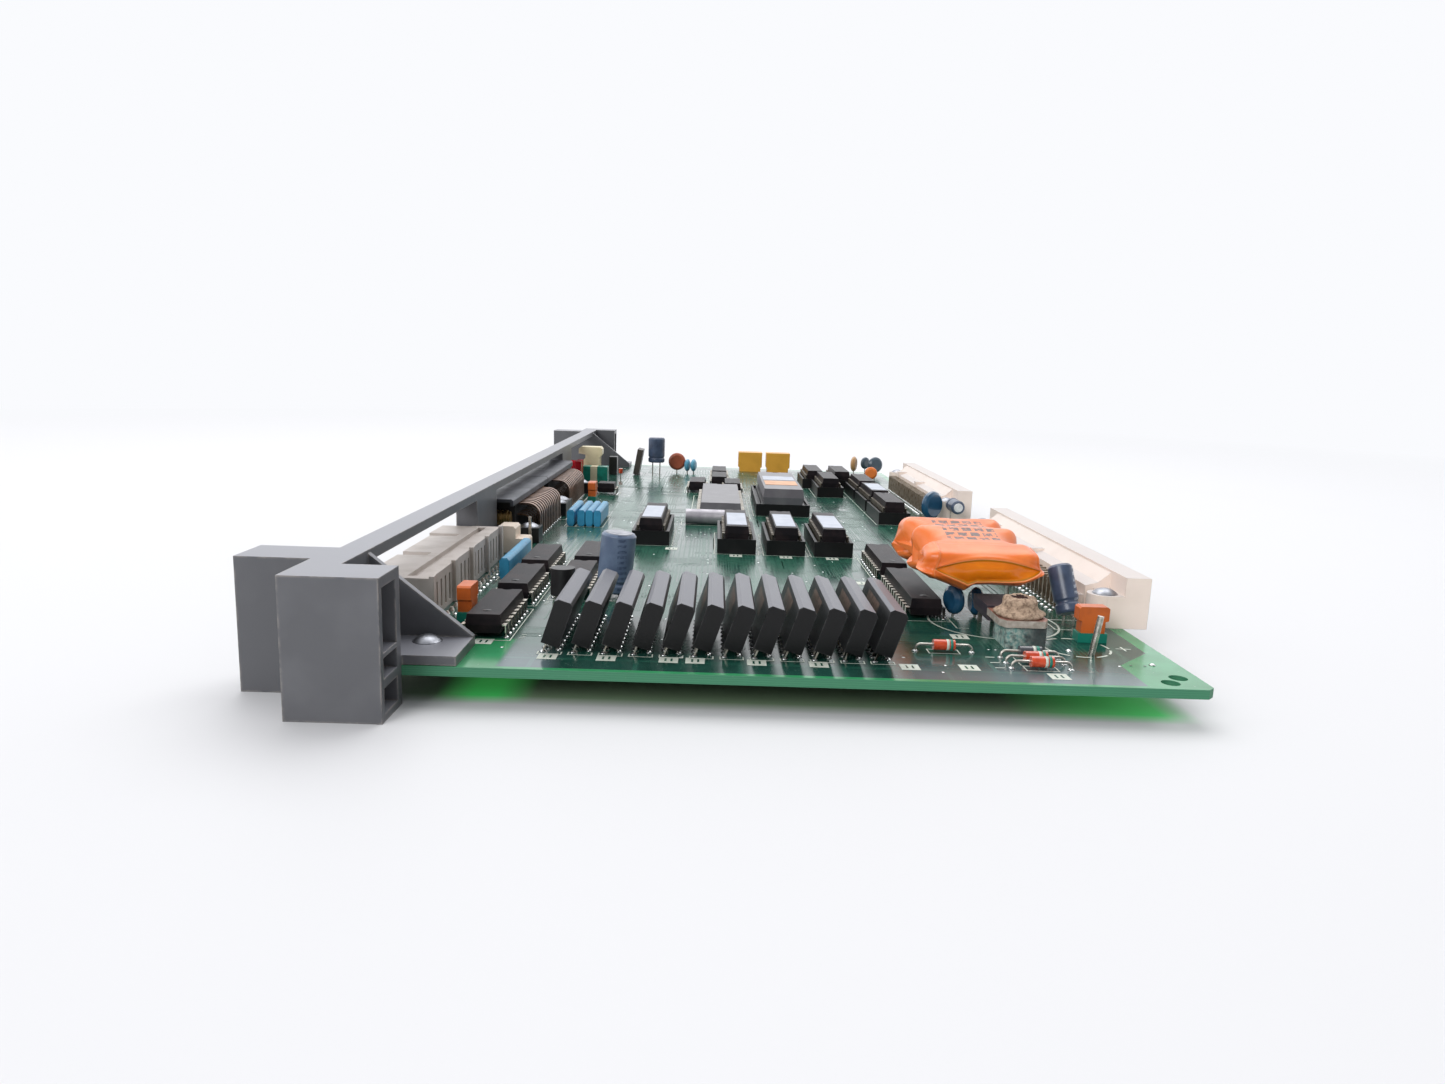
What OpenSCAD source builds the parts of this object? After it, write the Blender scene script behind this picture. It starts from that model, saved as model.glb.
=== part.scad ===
// Rack card circuit board: a populated board with a moulded front panel and two backplane plugs.
// Drawn in the board's own frame: x from its front edge, y from its near edge, z from its top face.
// The last section moves that frame so that the origin lies under the middle of the whole card.

/* [Circuit board] */
// Width from the front edge to the backplane edge
board_w = 138; // [137.5:0.5:142]
// Length along the front panel
board_l = 318; // [316:1:330]
// Thickness of the laminate
board_t = 1.6; // [1.4:0.1:2]
// Diameter of the two tooling holes in the near corner
tooling_hole_d = 3; // [2.4:0.1:3.2]

/* [Front panel] */
// Height of the panel
panel_h = 22.4; // [21.6:0.2:26]
// Height of the board's top face above the panel's underside
panel_drop = 6.3; // [6:0.1:6.8]
// Width of the top and bottom rails
rail_w = 5.1; // [4.4:0.1:6]
// Thickness of the top and bottom rails
rail_t = 2; // [1.4:0.1:2.4]
// Length of each end block past the board
block_l = 9.2; // [8:0.2:12]
// Width of each end block
block_w = 14.9; // [13:0.1:17]
// Wall left around the pockets of an end block
pocket_wall = 1.2; // [0.8:0.1:1.6]
// Reach of each finger tab in front of the rails
tab_reach = 13.2; // [9:0.2:16]
// Length of each finger tab along the panel
tab_l = 9.4; // [7:0.2:10]
// Thickness of the feet that are riveted to the board
foot_t = 1.6; // [1.2:0.1:2.2]

/* [Backplane plugs] */
// Length of a plug housing
plug_l = 95; // [94:0.5:96]
// Distance between the two plugs, start to start
plug_pitch = 133.35; // [130:0.05:137]
// Start of the near plug from the board's near edge
plug_start = 36.4; // [34:0.2:38]
// Height of the mating face
plug_h = 10.2; // [9.6:0.1:11]
// Reach of the mating face past the board's edge
plug_reach = 4.7; // [4:0.1:6]
// Distance between the two rivets of a plug
plug_hole_pitch = 88.9; // [88.4:0.1:89.2]

/* [Rivets] */
// Diameter of the rivet shanks
rivet_d = 2.6; // [2.2:0.1:2.8]
// Diameter of the rivet domes
rivet_head_d = 4.9; // [4.2:0.1:5.2]
// Height of the closed end under the board
rivet_tail_h = 2; // [1.8:0.1:2.4]

/* [Front connectors] */
// Length of the ribbon header
header_l = 58; // [56:0.5:58]
// Height of the ribbon header
header_h = 8; // [7.4:0.1:9]
// Length of a port shell
port_l = 53; // [52.4:0.1:53.2]
// Height of a port shell
port_h = 11.5; // [11.3:0.1:12.6]
// Distance between the two ports
port_pitch = 53.5; // [53.3:0.1:55]

/* [Chips] */
// Lead spacing of the soldered and socketed packages
lead_pitch = 2.54; // [2.5:0.01:2.56]
// Body width of a narrow package
chip_w = 6.4; // [6:0.1:6.6]
// Body thickness of a narrow package
chip_t = 3.4; // [3:0.1:3.6]
// Height of a chip socket
socket_h = 3.9; // [3.5:0.1:4.4]
// Number of leaning memory packages
memory_count = 12; // [8:1:12]
// Lean of the memory packages
memory_lean = 18; // [8:1:20]
// Height of a memory package
memory_h = 8; // [7:0.1:8.6]

/* [Battery and capacitors] */
// Diameter of one wrapped cell
cell_d = 10.9; // [10.6:0.1:11.2]
// Length of the wrapped cells
cell_l = 24.6; // [23:0.2:25]
// Diameter of the tall capacitor behind the memory
tall_cap_d = 7.2; // [6.3:0.1:7.3]
// Length of the tall capacitor
tall_cap_l = 12.4; // [11:0.2:14]

/* [Hidden] */
$fn = 48;
clearance = 0.1;
panel_top = panel_h - panel_drop;
rail_x = -0.5 - rail_w;
header_y = 26.4;
port_mid = 133.5;
far_port_end = port_mid + port_pitch + port_l / 2;
post_y = [[header_y + header_l + 0.6, port_mid - port_l / 2 - 1], [far_port_end + 2.5, far_port_end + 24.5]];
end_post_l = 12.6;
block_x = rail_x - 1;
foot_w = 17.3;
pocket_z = [[-5.1, -1.1], [0.4, 3.6], [4.4, 14.4]];
plug_back = 6.6;
boss_h = 6.4;
boss_l = 7.6;
boss_out = 3.05;
rivet_hole_d = rivet_d + 2 * clearance;
foot_rivet = [9.9, 8.6];
port_hole_pitch = 47;
ear_h = 4;
ear_x = 7.4;
lead_t = 0.25;
port_lead_w = 1.5;
chip_gap = 0.9;
chip_top = chip_gap + chip_t;
plug_starts = [plug_start, plug_start + plug_pitch];
plug_rivet_x = board_w - 3;
regulator_top = 5.8;
cell_z = regulator_top + 0.02 + cell_d / 2;
cell_y = 38.4;
cell_x = board_w - 40.8;
regulator_x = board_w - 25;
end_cap_x = board_w - 2.4;
end_cap_y = plug_rivet_ys(plug_starts[1])[0] - 5.4;
layout_w = 138;
tall_cap_at = [36.4, 50];
memory_x = 30.1;
memory_y = 9;
memory_pitch = 2 * lead_pitch;
memory_fit = min(memory_count, floor((cell_x - 11.1 - memory_x) / memory_pitch) + 1);
wide_chip_size = [13.4, 4];
wide_socketed_size = [13.6, 5.2];
wide_chip_at = [mid_x(59.2), 186];
wide_socket_at = [mid_x(79.9), 193.4];
wide_row_w = 15.24;
tab_top = 5.4;
card_mid_x = (rail_x - tab_reach + board_w + plug_reach) / 2;

// Columns in the middle of the board spread with its width
function mid_x(x) = x * board_w / layout_w;
function plug_rivet_ys(start) = [for (s = [-1, 1]) start + plug_l / 2 + s * plug_hole_pitch / 2];
function port_centres() = [port_mid, port_mid + port_pitch];
function port_rivet_ys(centre) = [for (s = [-1, 1]) centre + s * port_hole_pitch / 2];

// Soldered narrow packages: x and y of the middle, leads on each side
logic_places = [[17.3, 26.2, 8], [17.3, 50.6, 8], [17.3, 74, 8], [28.2, 56, 8], [28.2, 80, 8],
    [board_w - 38.5, 53.5, 12], [board_w - 38.5, 86, 10], [mid_x(50.4), 229, 7], [mid_x(59), 250, 8],
    [mid_x(59), 273, 8], [mid_x(64), 228, 7], [17, 210, 3]];
// Socketed narrow packages: x and y of the middle, leads on each side
socket_places = [[mid_x(40.1), 124.5, 12], [mid_x(63.2), 115.6, 12], [mid_x(76.1), 115.6, 12],
    [mid_x(88.6), 115.6, 12], [board_w - 36.3, 232.6, 10], [board_w - 39.7, 259.2, 10],
    [board_w - 23, 170.2, 10], [board_w - 23, 199.2, 10], [board_w - 23, 228.2, 10],
    [board_w - 28.6, 258.8, 10]];
// Jumpers: x and y of the middle, turned or not
jumper_places = [[11.4, 29, 90], [14.2, 190, 90], [board_w - 10.3, 26.9, 0]];
// Diodes along x: middle x, y and height
diode_places = [[board_w - 40, 16.8, 1.3], [board_w - 25.5, 8.3, 1.3], [board_w - 25.6, 11.2, 1.3],
    [board_w - 25.6, 14.3, 1.3]];
// Dipped discs: x, y, height of the middle, diameter, thickness, turn about z
brown_disc = [39.8, 290, 5, 7.8, 2.6, 0];
blue_disc_places = [[board_w - 10, 163.4, 6, 9.2, 2.8, 38], [board_w - 32.1, 42.6, 3.4, 6, 2.4, 112],
    [board_w - 27.6, 42.6, 3.2, 5.8, 2.4, 90]];
drop_places = [[board_w - 16.2, 300, 5.6, 7, 2.2, 70], [board_w - 10, 306, 5.6, 5.6, 2.2, 40],
    [board_w - 6.3, 300, 5.4, 7.4, 2.6, 20]];
small_disc_places = [[44.6, 289, 3.6, 5.6, 2, 75], [47.4, 289, 3.6, 5.6, 2, 75],
    [board_w - 10.6, 284, 3.2, 5.6, 2.2, -12]];
all_discs = concat([brown_disc], blue_disc_places, drop_places, small_disc_places);
// Upright resistor networks: x, y start, length
network_places = [[11, 62, 25.4], [14.6, 135.5, 20.3], [17.7, 135.5, 20.3], [20.1, 135.5, 20.3],
    [22.5, 135.5, 20.3]];

// A box given by its low corner and its high corner
module span(low, high) {
    translate(low)
        cube(high - low);
}

// A profile drawn in x and z, extruded along y from y0
module along_y(y0, length) {
    translate([0, y0 + length, 0])
        rotate([90, 0, 0])
            linear_extrude(length)
                children();
}

// A profile drawn in y and z, extruded along x from x0
module along_x(x0, length) {
    translate([x0, 0, 0])
        rotate([90, 0, 90])
            linear_extrude(length)
                children();
}

// A round rod along x
module rod_x(x0, length, d) {
    translate([x0, 0, 0])
        rotate([0, 90, 0])
            cylinder(d = d, h = length);
}

// A blind rivet on a seat at seat_z: dome, shank and closed end under the board
module rivet(seat_z) {
    dome_h = 1.1;
    dome_r = (pow(rivet_head_d / 2, 2) + pow(dome_h, 2)) / (2 * dome_h);
    intersection() {
        translate([0, 0, seat_z + dome_h - dome_r])
            sphere(r = dome_r, $fn = 64);
        translate([0, 0, seat_z])
            cylinder(d = rivet_head_d, h = dome_h + 1);
    }
    translate([0, 0, -board_t - 0.01])
        cylinder(d = rivet_d, h = seat_z + board_t + 0.02);
    translate([0, 0, -board_t - rivet_tail_h])
        cylinder(d = rivet_d + 1.4, h = rivet_tail_h);
}

// Moulded package with drafted sides, its middle on the origin and its underside at z0
module package(length, width, thick, z0, notch_r = 1) {
    draft = 0.09 * thick;
    mid = z0 + thick * 0.45;
    difference() {
        intersection() {
            along_y(-length / 2, length)
                polygon([[-width / 2 + draft, z0], [width / 2 - draft, z0], [width / 2, mid],
                    [width / 2 - draft, z0 + thick], [-width / 2 + draft, z0 + thick],
                    [-width / 2, mid]]);
            along_x(-width / 2, width)
                polygon([[-length / 2 + draft, z0], [length / 2 - draft, z0], [length / 2, mid],
                    [length / 2 - draft, z0 + thick], [-length / 2 + draft, z0 + thick],
                    [-length / 2, mid]]);
        }
        translate([0, length / 2, z0 + thick * 0.72])
            cylinder(r = notch_r, h = thick);
    }
}

// One formed lead on the right-hand side of a package: shoulder, wide upper part, narrow tip
module formed_lead(body_w, row_w, shoulder_z, tip_z) {
    out = row_w / 2;
    span([body_w / 2, -0.7, shoulder_z - lead_t], [out, 0.7, shoulder_z]);
    translate([out - lead_t, 0, 0])
        along_x(0, lead_t)
            polygon([[-0.7, shoulder_z], [0.7, shoulder_z], [0.7, tip_z + 1], [0.24, tip_z + 0.55],
                [0.24, tip_z], [-0.24, tip_z], [-0.24, tip_z + 0.55], [-0.7, tip_z + 1]]);
}

// Two rows of formed leads round the origin
module lead_rows(per_side, body_w, row_w, shoulder_z, tip_z) {
    for (i = [0 : per_side - 1])
        for (s = [0, 1])
            translate([0, (i - (per_side - 1) / 2) * lead_pitch, 0])
                mirror([s, 0, 0])
                    formed_lead(body_w, row_w, shoulder_z, tip_z);
}

// A round wire that drops from [x, y, z] to the board
module drop_wire(x, y, z, d = 0.5) {
    translate([x, y, 0])
        cylinder(d = d, h = z, $fn = 16);
}

module circuit_board() {
    corner = 1.2;
    color("#1f5a3c")
        difference() {
            translate([0, 0, -board_t])
                linear_extrude(board_t)
                    polygon([[0, 0], [board_w - corner, 0], [board_w, corner],
                        [board_w, board_l - corner], [board_w - corner, board_l], [0, board_l]]);
            for (p = [[board_w - 6.1, 3.1], [board_w - 3.6, 5.8]])
                translate([p[0], p[1], -board_t - 1])
                    cylinder(d = tooling_hole_d, h = board_t + 2);
            for (y = [foot_rivet[1], board_l - foot_rivet[1]])
                translate([foot_rivet[0], y, -board_t - 1])
                    cylinder(d = rivet_hole_d, h = board_t + 2);
            for (start = plug_starts)
                for (y = plug_rivet_ys(start))
                    translate([plug_rivet_x, y, -board_t - 1])
                        cylinder(d = rivet_hole_d, h = board_t + 2);
            for (c = port_centres())
                for (y = port_rivet_ys(c))
                    translate([ear_x, y, -board_t - 1])
                        cylinder(d = rivet_hole_d, h = board_t + 2);
        }
}

// Near end of the panel: pocketed block, finger tab, end post, foot and gusset
module panel_end() {
    pocket_depth = block_w - 4;
    block_right = block_x + block_w;
    difference() {
        span([block_x, -block_l, -panel_drop], [block_right, 0, panel_top]);
        for (z = pocket_z)
            span([block_right - pocket_depth, -block_l + pocket_wall, z[0]],
                [block_right + 1, -1.9, z[1]]);
    }
    span([rail_x - tab_reach, end_post_l - tab_l, -panel_drop], [rail_x, end_post_l, panel_top]);
    span([block_x, -1, -panel_drop], [rail_x + rail_w, end_post_l - 1, panel_top]);
    span([rail_x, 0, -panel_drop], [rail_x + rail_w, end_post_l, panel_top]);
    difference() {
        span([rail_x + rail_w - 0.5, 0.3, 0], [foot_w - 0.5, end_post_l, foot_t]);
        translate([foot_rivet[0], foot_rivet[1] - 0.1, -1])
            cylinder(d = rivet_hole_d, h = foot_t + 2);
    }
    span([rail_x + rail_w - 0.5, -0.5, 0], [block_right, 0.8, foot_t]);
    along_y(end_post_l - 1.3, 1.3)
        polygon([[rail_x + rail_w - 0.5, 0], [foot_w - 0.5, 0], [foot_w - 0.5, foot_t + 0.1],
            [-0.5, panel_top - 0.6], [rail_x + rail_w - 0.5, panel_top - 0.6]]);
}

module front_panel() {
    color("#68686c") {
        panel_end();
        translate([0, board_l, 0])
            mirror([0, 1, 0])
                panel_end();
        for (z = [-panel_drop, panel_top - rail_t])
            span([rail_x, 0, z], [rail_x + rail_w, board_l, z + rail_t]);
        for (y = post_y)
            span([rail_x, y[0], -panel_drop], [rail_x + rail_w, y[1], panel_top]);
    }
}

module panel_rivets() {
    color("#d8dade")
        for (y = [foot_rivet[1], board_l - foot_rivet[1]])
            translate([foot_rivet[0], y, 0])
                rivet(foot_t);
}

// Right-angle plug housing that starts at y = start: stepped section, mating cavity, riveted ends
module plug_housing(start) {
    face_x = board_w + plug_reach;
    back_x = board_w - plug_back;
    cavity_wall = 1.5;
    lip_x = board_w - 0.2;
    boss_near = plug_rivet_ys(start)[0] - boss_out;
    boss_far = plug_rivet_ys(start)[1] + boss_out - boss_l;
    color("#ece6dc")
        difference() {
            union() {
                along_y(boss_near + boss_l, boss_far - boss_near - boss_l)
                    polygon([[back_x + 1.4, 0], [face_x, 0], [face_x, plug_h], [lip_x + 1, plug_h],
                        [lip_x, plug_h - 0.5], [lip_x - 2.4, 7.6], [back_x + 1.4, 6.9]]);
                span([lip_x, start, 0], [face_x, start + plug_l, plug_h]);
                span([lip_x - 1, boss_near, 0], [lip_x + 1, boss_far + boss_l, boss_h]);
                for (y = [boss_near, boss_far])
                    span([back_x + 3, y, 0], [lip_x + 1, y + boss_l, boss_h]);
                for (y = plug_rivet_ys(start))
                    translate([plug_rivet_x - 0.4, y, 0])
                        cylinder(d = 6, h = boss_h);
                for (y = [boss_near + boss_l + 0.6, boss_far - 4.8])
                    span([back_x, y, 0], [lip_x, y + 4.2, boss_h - 1.6]);
                for (y = [boss_near + 41.6, boss_far - 11.4])
                    span([back_x + 1, y, 6], [lip_x, y + 2.6, 8.1]);
            }
            span([board_w + 0.8, start + 4, cavity_wall], [face_x + 1, start + plug_l - 4, plug_h - cavity_wall]);
            for (y = plug_rivet_ys(start))
                translate([plug_rivet_x, y, -1])
                    cylinder(d = rivet_hole_d, h = boss_h + 2);
        }
}

// Contacts of a plug: square pins in the cavity and tails that bend down to the board
module plug_contacts(start) {
    rows = 32;
    back_x = board_w - plug_back + 1.4;
    first_y = start + plug_l / 2 - (rows - 1) / 2 * lead_pitch;
    color("#a59a8a")
        for (i = [0 : rows - 1])
            translate([0, first_y + i * lead_pitch, 0]) {
                for (z = [2.6, plug_h / 2, plug_h - 2.6])
                    span([board_w + 0.8, -0.3, z - 0.3], [board_w + plug_reach - 0.4, 0.3, z + 0.3]);
                if (i > 1 && i < rows - 2)
                    for (t = [[2.6, 5.8], [1.2, 4.1]])
                        along_y(-0.3, 0.6)
                            polygon([[back_x - t[0] - 0.5, 0], [back_x - t[0], 0], [back_x - t[0], t[1] - 0.5],
                                [back_x, t[1] - 0.5], [back_x, t[1]], [back_x - t[0] - 0.5, t[1]]]);
            }
}

module near_plug_housing() {
    plug_housing(plug_starts[0]);
}

module far_plug_housing() {
    plug_housing(plug_starts[1]);
}

module near_plug_contacts() {
    plug_contacts(plug_starts[0]);
}

module far_plug_contacts() {
    plug_contacts(plug_starts[1]);
}

module plug_rivets() {
    color("#d8dade")
        for (start = plug_starts)
            for (y = plug_rivet_ys(start))
                translate([plug_rivet_x, y, 0])
                    rivet(boss_h);
}

// Box header on its side: slotted rear wall with pilasters, three guide plates and an open mouth
module ribbon_header() {
    y0 = header_y;
    wall_x = 5.2;
    mouth_x = -7.6;
    slots = 20;
    slot_gap = header_l / slots;
    color("#bdb6ae")
        difference() {
            union() {
                span([-1.6, y0, 0], [wall_x, y0 + header_l, header_h]);
                for (y = [y0, y0 + header_l * 0.26, y0 + header_l * 0.5, y0 + header_l * 0.74, y0 + header_l - 1.6])
                    span([wall_x - 0.2, y, 0], [wall_x + 0.7, y + 1.6, header_h + 0.4]);
                span([mouth_x, y0 + 1.2, header_h - 1.5], [0, y0 + 21, header_h]);
                span([mouth_x, y0 + 24.4, header_h - 1.5], [0, y0 + 43.4, header_h]);
                span([mouth_x - 1, y0 + 46.6, header_h - 1.5], [0, y0 + header_l - 0.6, header_h]);
                span([mouth_x, y0 + 0.6, 0.6], [0, y0 + header_l - 0.6, 1.8]);
                for (y = [y0, y0 + header_l - 1.6])
                    span([mouth_x, y, 0.6], [0, y + 1.6, header_h - 0.6]);
            }
            span([0.4, y0 + 2, header_h - 1], [2.2, y0 + header_l - 2, header_h + 1]);
            for (i = [0 : slots - 1])
                span([wall_x - 2.2, y0 + (i + 0.32) * slot_gap, 1], [wall_x + 0.1, y0 + (i + 0.68) * slot_gap, header_h - 1.6]);
        }
}

// Solder tails that leave the header behind its rear wall, two rows
module ribbon_header_tails() {
    y0 = header_y;
    color("#d5d2ca")
        for (i = [0 : 15])
            translate([6.8, y0 + 5.2 + i * (header_l - 10.4) / 15, 0])
                cylinder(d1 = 1.3, d2 = 0.5, h = 0.7, $fn = 24);
}

module header_end_block() {
    color("#efe3d3")
        along_y((header_y + header_l + port_mid - port_hole_pitch / 2 - 3) / 2 - 3.3, 6.4)
            polygon([[3, 0], [10.2, 0], [10.2, 3.2], [9.8, 3.7], [7.2, 3.7], [7.2, 6.2], [6.7, 6.8], [3, 6.8]]);
}

// Metal hood of a port: top, front flange and a rear lip, open at both ends
module port_shell(centre) {
    rear_x = 3.6;
    front_x = -5;
    color("#4b4d52")
        difference() {
            along_y(centre - port_l / 2, port_l)
                polygon([[front_x, 0.8], [front_x + 1, 0.8], [front_x + 1, port_h - 0.9], [rear_x - 0.8, port_h - 0.9],
                    [rear_x - 0.8, 9.6], [rear_x, 9.6], [rear_x, port_h - 0.4], [rear_x - 0.4, port_h],
                    [front_x, port_h]]);
            for (y = port_rivet_ys(centre))
                translate([0, y, 6])
                    rod_x(front_x - 1, 3, 3.4);
            span([front_x - 1, centre - 19.6, 2.4], [front_x + 2, centre + 19.6, 9.6]);
        }
}

module near_port_shell() {
    port_shell(port_centres()[0]);
}

module far_port_shell() {
    port_shell(port_centres()[1]);
}

// Moulded inserts that carry the port contacts
module port_inserts() {
    color("#26262a")
        for (c = port_centres())
            difference() {
                span([-4, c - 19.4, 0], [2.6, c + 19.4, port_h - 0.9]);
                for (i = [0 : 12])
                    translate([0, c + (i - 6) * 2.77, 8])
                        rod_x(-5, 3, 1.2);
            }
}

module port_jackscrews() {
    color("#b79a63")
        for (c = port_centres())
            for (y = port_rivet_ys(c))
                translate([0, y, 6]) {
                    rod_x(-5.4, 1.6, 3.2);
                    translate([-4, 0, 0])
                        rotate([0, 90, 0])
                            cylinder(d = 4.4, h = 2, $fn = 6);
                    for (x = [-2, -0.6, 0.8])
                        rod_x(x, 0.8, 4.4);
                    rod_x(-2.1, 4.4, 3.6);
                }
}

// Riveted plastic ears at both ends of each port
module port_ears() {
    color("#1d1d20")
        for (c = port_centres())
            for (y = port_rivet_ys(c))
                difference() {
                    span([4.1, y - 3, 0], [10.4, y + 3, ear_h]);
                    translate([ear_x, y, -1])
                        cylinder(d = rivet_hole_d, h = ear_h + 2);
                }
}

module port_rivets() {
    color("#e0e2e4")
        for (c = port_centres())
            for (y = port_rivet_ys(c))
                translate([ear_x, y, 0])
                    rivet(ear_h);
}

// Band of lead_t that leaves a face at z = top, turns on radius r and drops to the board
module bent_lead_profile(x0, x1, top, thick, r) {
    translate([x0, top - thick])
        square([x1 - r - x0, thick]);
    translate([x1 - thick, 0])
        square([thick, top - r]);
    intersection() {
        translate([x1 - r, top - r])
            difference() {
                circle(r = r);
                circle(r = r - thick);
            }
        translate([x1 - r, top - r])
            square([r, r]);
    }
}

// Two rows of wide curved leads behind a port
module port_leads(centre) {
    pitch = 2.77;
    color("#8d7868") {
        for (i = [0 : 12])
            along_y(centre + (i - 6) * pitch - port_lead_w / 2, port_lead_w)
                bent_lead_profile(2.6, 9.2, 9.4, 0.5, 3.6);
        for (i = [0 : 11])
            along_y(centre + (i - 5.5) * pitch - port_lead_w / 2, port_lead_w)
                bent_lead_profile(2.6, 6.6, 6.2, 0.5, 2.6);
    }
}

module near_port_leads() {
    port_leads(port_centres()[0]);
}

module far_port_leads() {
    port_leads(port_centres()[1]);
}

module test_pin() {
    color("#b9b1a0")
        span([8.2, 104.2, 0], [8.9, 104.9, 7.4]);
}

// Pin carrier under each jumper
module jumper_bases() {
    color("#1f6a5c")
        for (p = jumper_places)
            translate([p[0], p[1], 0])
                rotate([0, 0, p[2]])
                    span([-2.7, -1.4, 0], [2.7, 1.4, 1.8]);
}

// Pull-off jumper plugs with a wide head
module jumper_plugs() {
    color("#e8742a")
        for (p = jumper_places)
            translate([p[0], p[1], 1.8])
                rotate([0, 0, p[2]])
                    along_y(-1.3, 2.6)
                        polygon([[-2.2, 0], [2.2, 0], [2.2, 2.2], [2.8, 2.4], [2.8, 4.7], [2.4, 5], [-2.4, 5],
                            [-2.8, 4.7], [-2.8, 2.4], [-2.2, 2.2]]);
}

// Two front lamps in square lenses, each on its own foot
module lamp_pair() {
    color("#c01f33")
        for (y = [246.5, 251.5]) {
            translate([0, y, 6.4])
                rod_x(-3.2, 3.4, 3);
            span([0.1, y - 1.8, 0], [2.4, y + 1.8, 8.2]);
        }
}

// Hook-shaped front switch: body, lever cap over the panel opening
module lamp_switch() {
    color("#e6dcc0")
        along_y(258, 6)
            polygon([[1.6, 0], [8.4, 0], [8.4, 8.6], [9.4, 10], [9.4, 12.2], [8.6, 13], [0.6, 13], [-0.4, 12.2],
                [-0.4, 10.2], [2.4, 9.8], [2.4, 8.4], [1.6, 7.6]]);
}

module teal_selector() {
    color("#148070")
        span([3.8, 241, 0], [13.6, 246.4, 6.6]);
}

module small_relay() {
    color("#1c1c1e")
        span([10.9, 272, 0], [14.3, 277, 7.8]);
}

// Leaning zig-zag packages; the lean turns each about a line just above the board
module memory_chips() {
    body_l = 25.6;
    body_t = 3.2;
    bevel = 0.55;
    color("#2a2a2d")
        for (i = [0 : memory_fit - 1])
            translate([memory_x + i * memory_pitch, 0, 1.3])
                rotate([0, memory_lean, 0])
                    along_y(memory_y, body_l)
                        polygon([[-body_t / 2, 0], [body_t / 2, 0], [body_t / 2, memory_h - bevel],
                            [body_t / 2 - bevel, memory_h], [-body_t / 2 + bevel, memory_h],
                            [-body_t / 2, memory_h - bevel]]);
}

// Zig-zag leads from the leaning undersides to two rows on the board
module memory_leads() {
    per_chip = 20;
    c = cos(memory_lean);
    s = sin(memory_lean);
    color("#c9c6bd")
        for (i = [0 : memory_fit - 1])
            for (j = [0 : per_chip - 1]) {
                side = j % 2 == 0 ? -1 : 1;
                high = side * 0.7 - 0.14;
                low = side * 0.7 + 0.14;
                translate([memory_x + i * memory_pitch, 0, 0])
                    along_y(memory_y + 0.4 + j * lead_pitch / 2, 0.5)
                        polygon([[high * c, 1.3 - high * s], [low * c, 1.3 - low * s],
                            [side * 1.27 + 0.14, 0], [side * 1.27 - 0.14, 0]]);
            }
}

module logic_chips() {
    color("#343336")
        for (p = logic_places)
            translate([p[0], p[1], 0])
                package(p[2] * lead_pitch - 0.4, chip_w, chip_t, chip_gap);
}

module logic_leads() {
    color("#cfccc4")
        for (p = logic_places)
            translate([p[0], p[1], 0])
                lead_rows(p[2], chip_w, 7.87, chip_gap + chip_t * 0.45, 0);
}

module wide_chip() {
    color("#88868a")
        translate(wide_chip_at)
            package(20 * lead_pitch + 1, wide_chip_size[0], wide_chip_size[1], chip_gap, 1.6);
}

module wide_leads() {
    color("#cfccc4")
        translate(wide_chip_at)
            lead_rows(20, wide_chip_size[0], wide_row_w + 0.26, chip_gap + wide_chip_size[1] * 0.45, 0);
}

// Open-frame socket: two rails and cross bars
module socket_frame(per_side, row_w) {
    length = per_side * lead_pitch;
    rail = 2.5;
    difference() {
        span([-row_w / 2 - 1.25, -length / 2, 0], [row_w / 2 + 1.25, length / 2, socket_h]);
        span([-row_w / 2 + rail - 1.25, -length / 2 + 2, -1], [row_w / 2 - rail + 1.25, length / 2 - 2, socket_h + 1]);
        for (s = [-1, 1])
            span([s * row_w / 2 - 0.5, -length / 2 + 0.6, socket_h - 0.9], [s * row_w / 2 + 0.5, length / 2 - 0.6, socket_h + 1]);
    }
}

module chip_sockets() {
    color("#161618")
        for (p = socket_places)
            translate([p[0], p[1], 0])
                socket_frame(p[2], 7.62);
}

module socketed_chips() {
    color("#3b3a3d")
        for (p = socket_places)
            translate([p[0], p[1], 0])
                package(p[2] * lead_pitch - 0.6, chip_w, chip_t, socket_h);
}

// Shoulders of the socketed packages, which stand in the grooves of the sockets
module socketed_leads() {
    color("#bdb8ae")
        for (p = socket_places)
            translate([p[0], p[1], 0])
                lead_rows(p[2], chip_w, 7.75, socket_h + chip_t * 0.45, socket_h - 0.9);
}

module wide_socket() {
    color("#161618")
        translate(wide_socket_at)
            socket_frame(20, wide_row_w);
}

module wide_socketed_chip() {
    color("#6f6d72")
        translate(wide_socket_at)
            package(20 * lead_pitch + 1, wide_socketed_size[0], wide_socketed_size[1], socket_h, 1.6);
}

// Paper labels on four socketed packages and two strips on the wide one
module chip_labels() {
    top = socket_h + chip_t;
    color("#eef1f4") {
        for (p = [for (i = [0 : 3]) socket_places[i]])
            translate([p[0], p[1], top])
                span([-2.6, -12.4, 0], [2.6, 8, 0.1]);
        translate([socket_places[7][0], socket_places[7][1], top])
            span([-2.6, -10, 0], [2.6, 8, 0.1]);
        translate([wide_socket_at[0], wide_socket_at[1], socket_h + wide_socketed_size[1]])
            for (y = [-14.4, -0.4])
                span([-5.5, y, 0], [5.5, y + 11.5, 0.1]);
    }
}

// Dipped networks that stand on edge
module resistor_networks() {
    color("#3d9ac4")
        for (p = network_places)
            along_y(p[1], p[2])
                polygon([[p[0] - 0.6, 0], [p[0] + 0.6, 0], [p[0] + 1.1, 0.7], [p[0] + 1.1, 4.3], [p[0] + 0.6, 4.9],
                    [p[0] - 0.6, 4.9], [p[0] - 1.1, 4.3], [p[0] - 1.1, 0.7]]);
}

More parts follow.
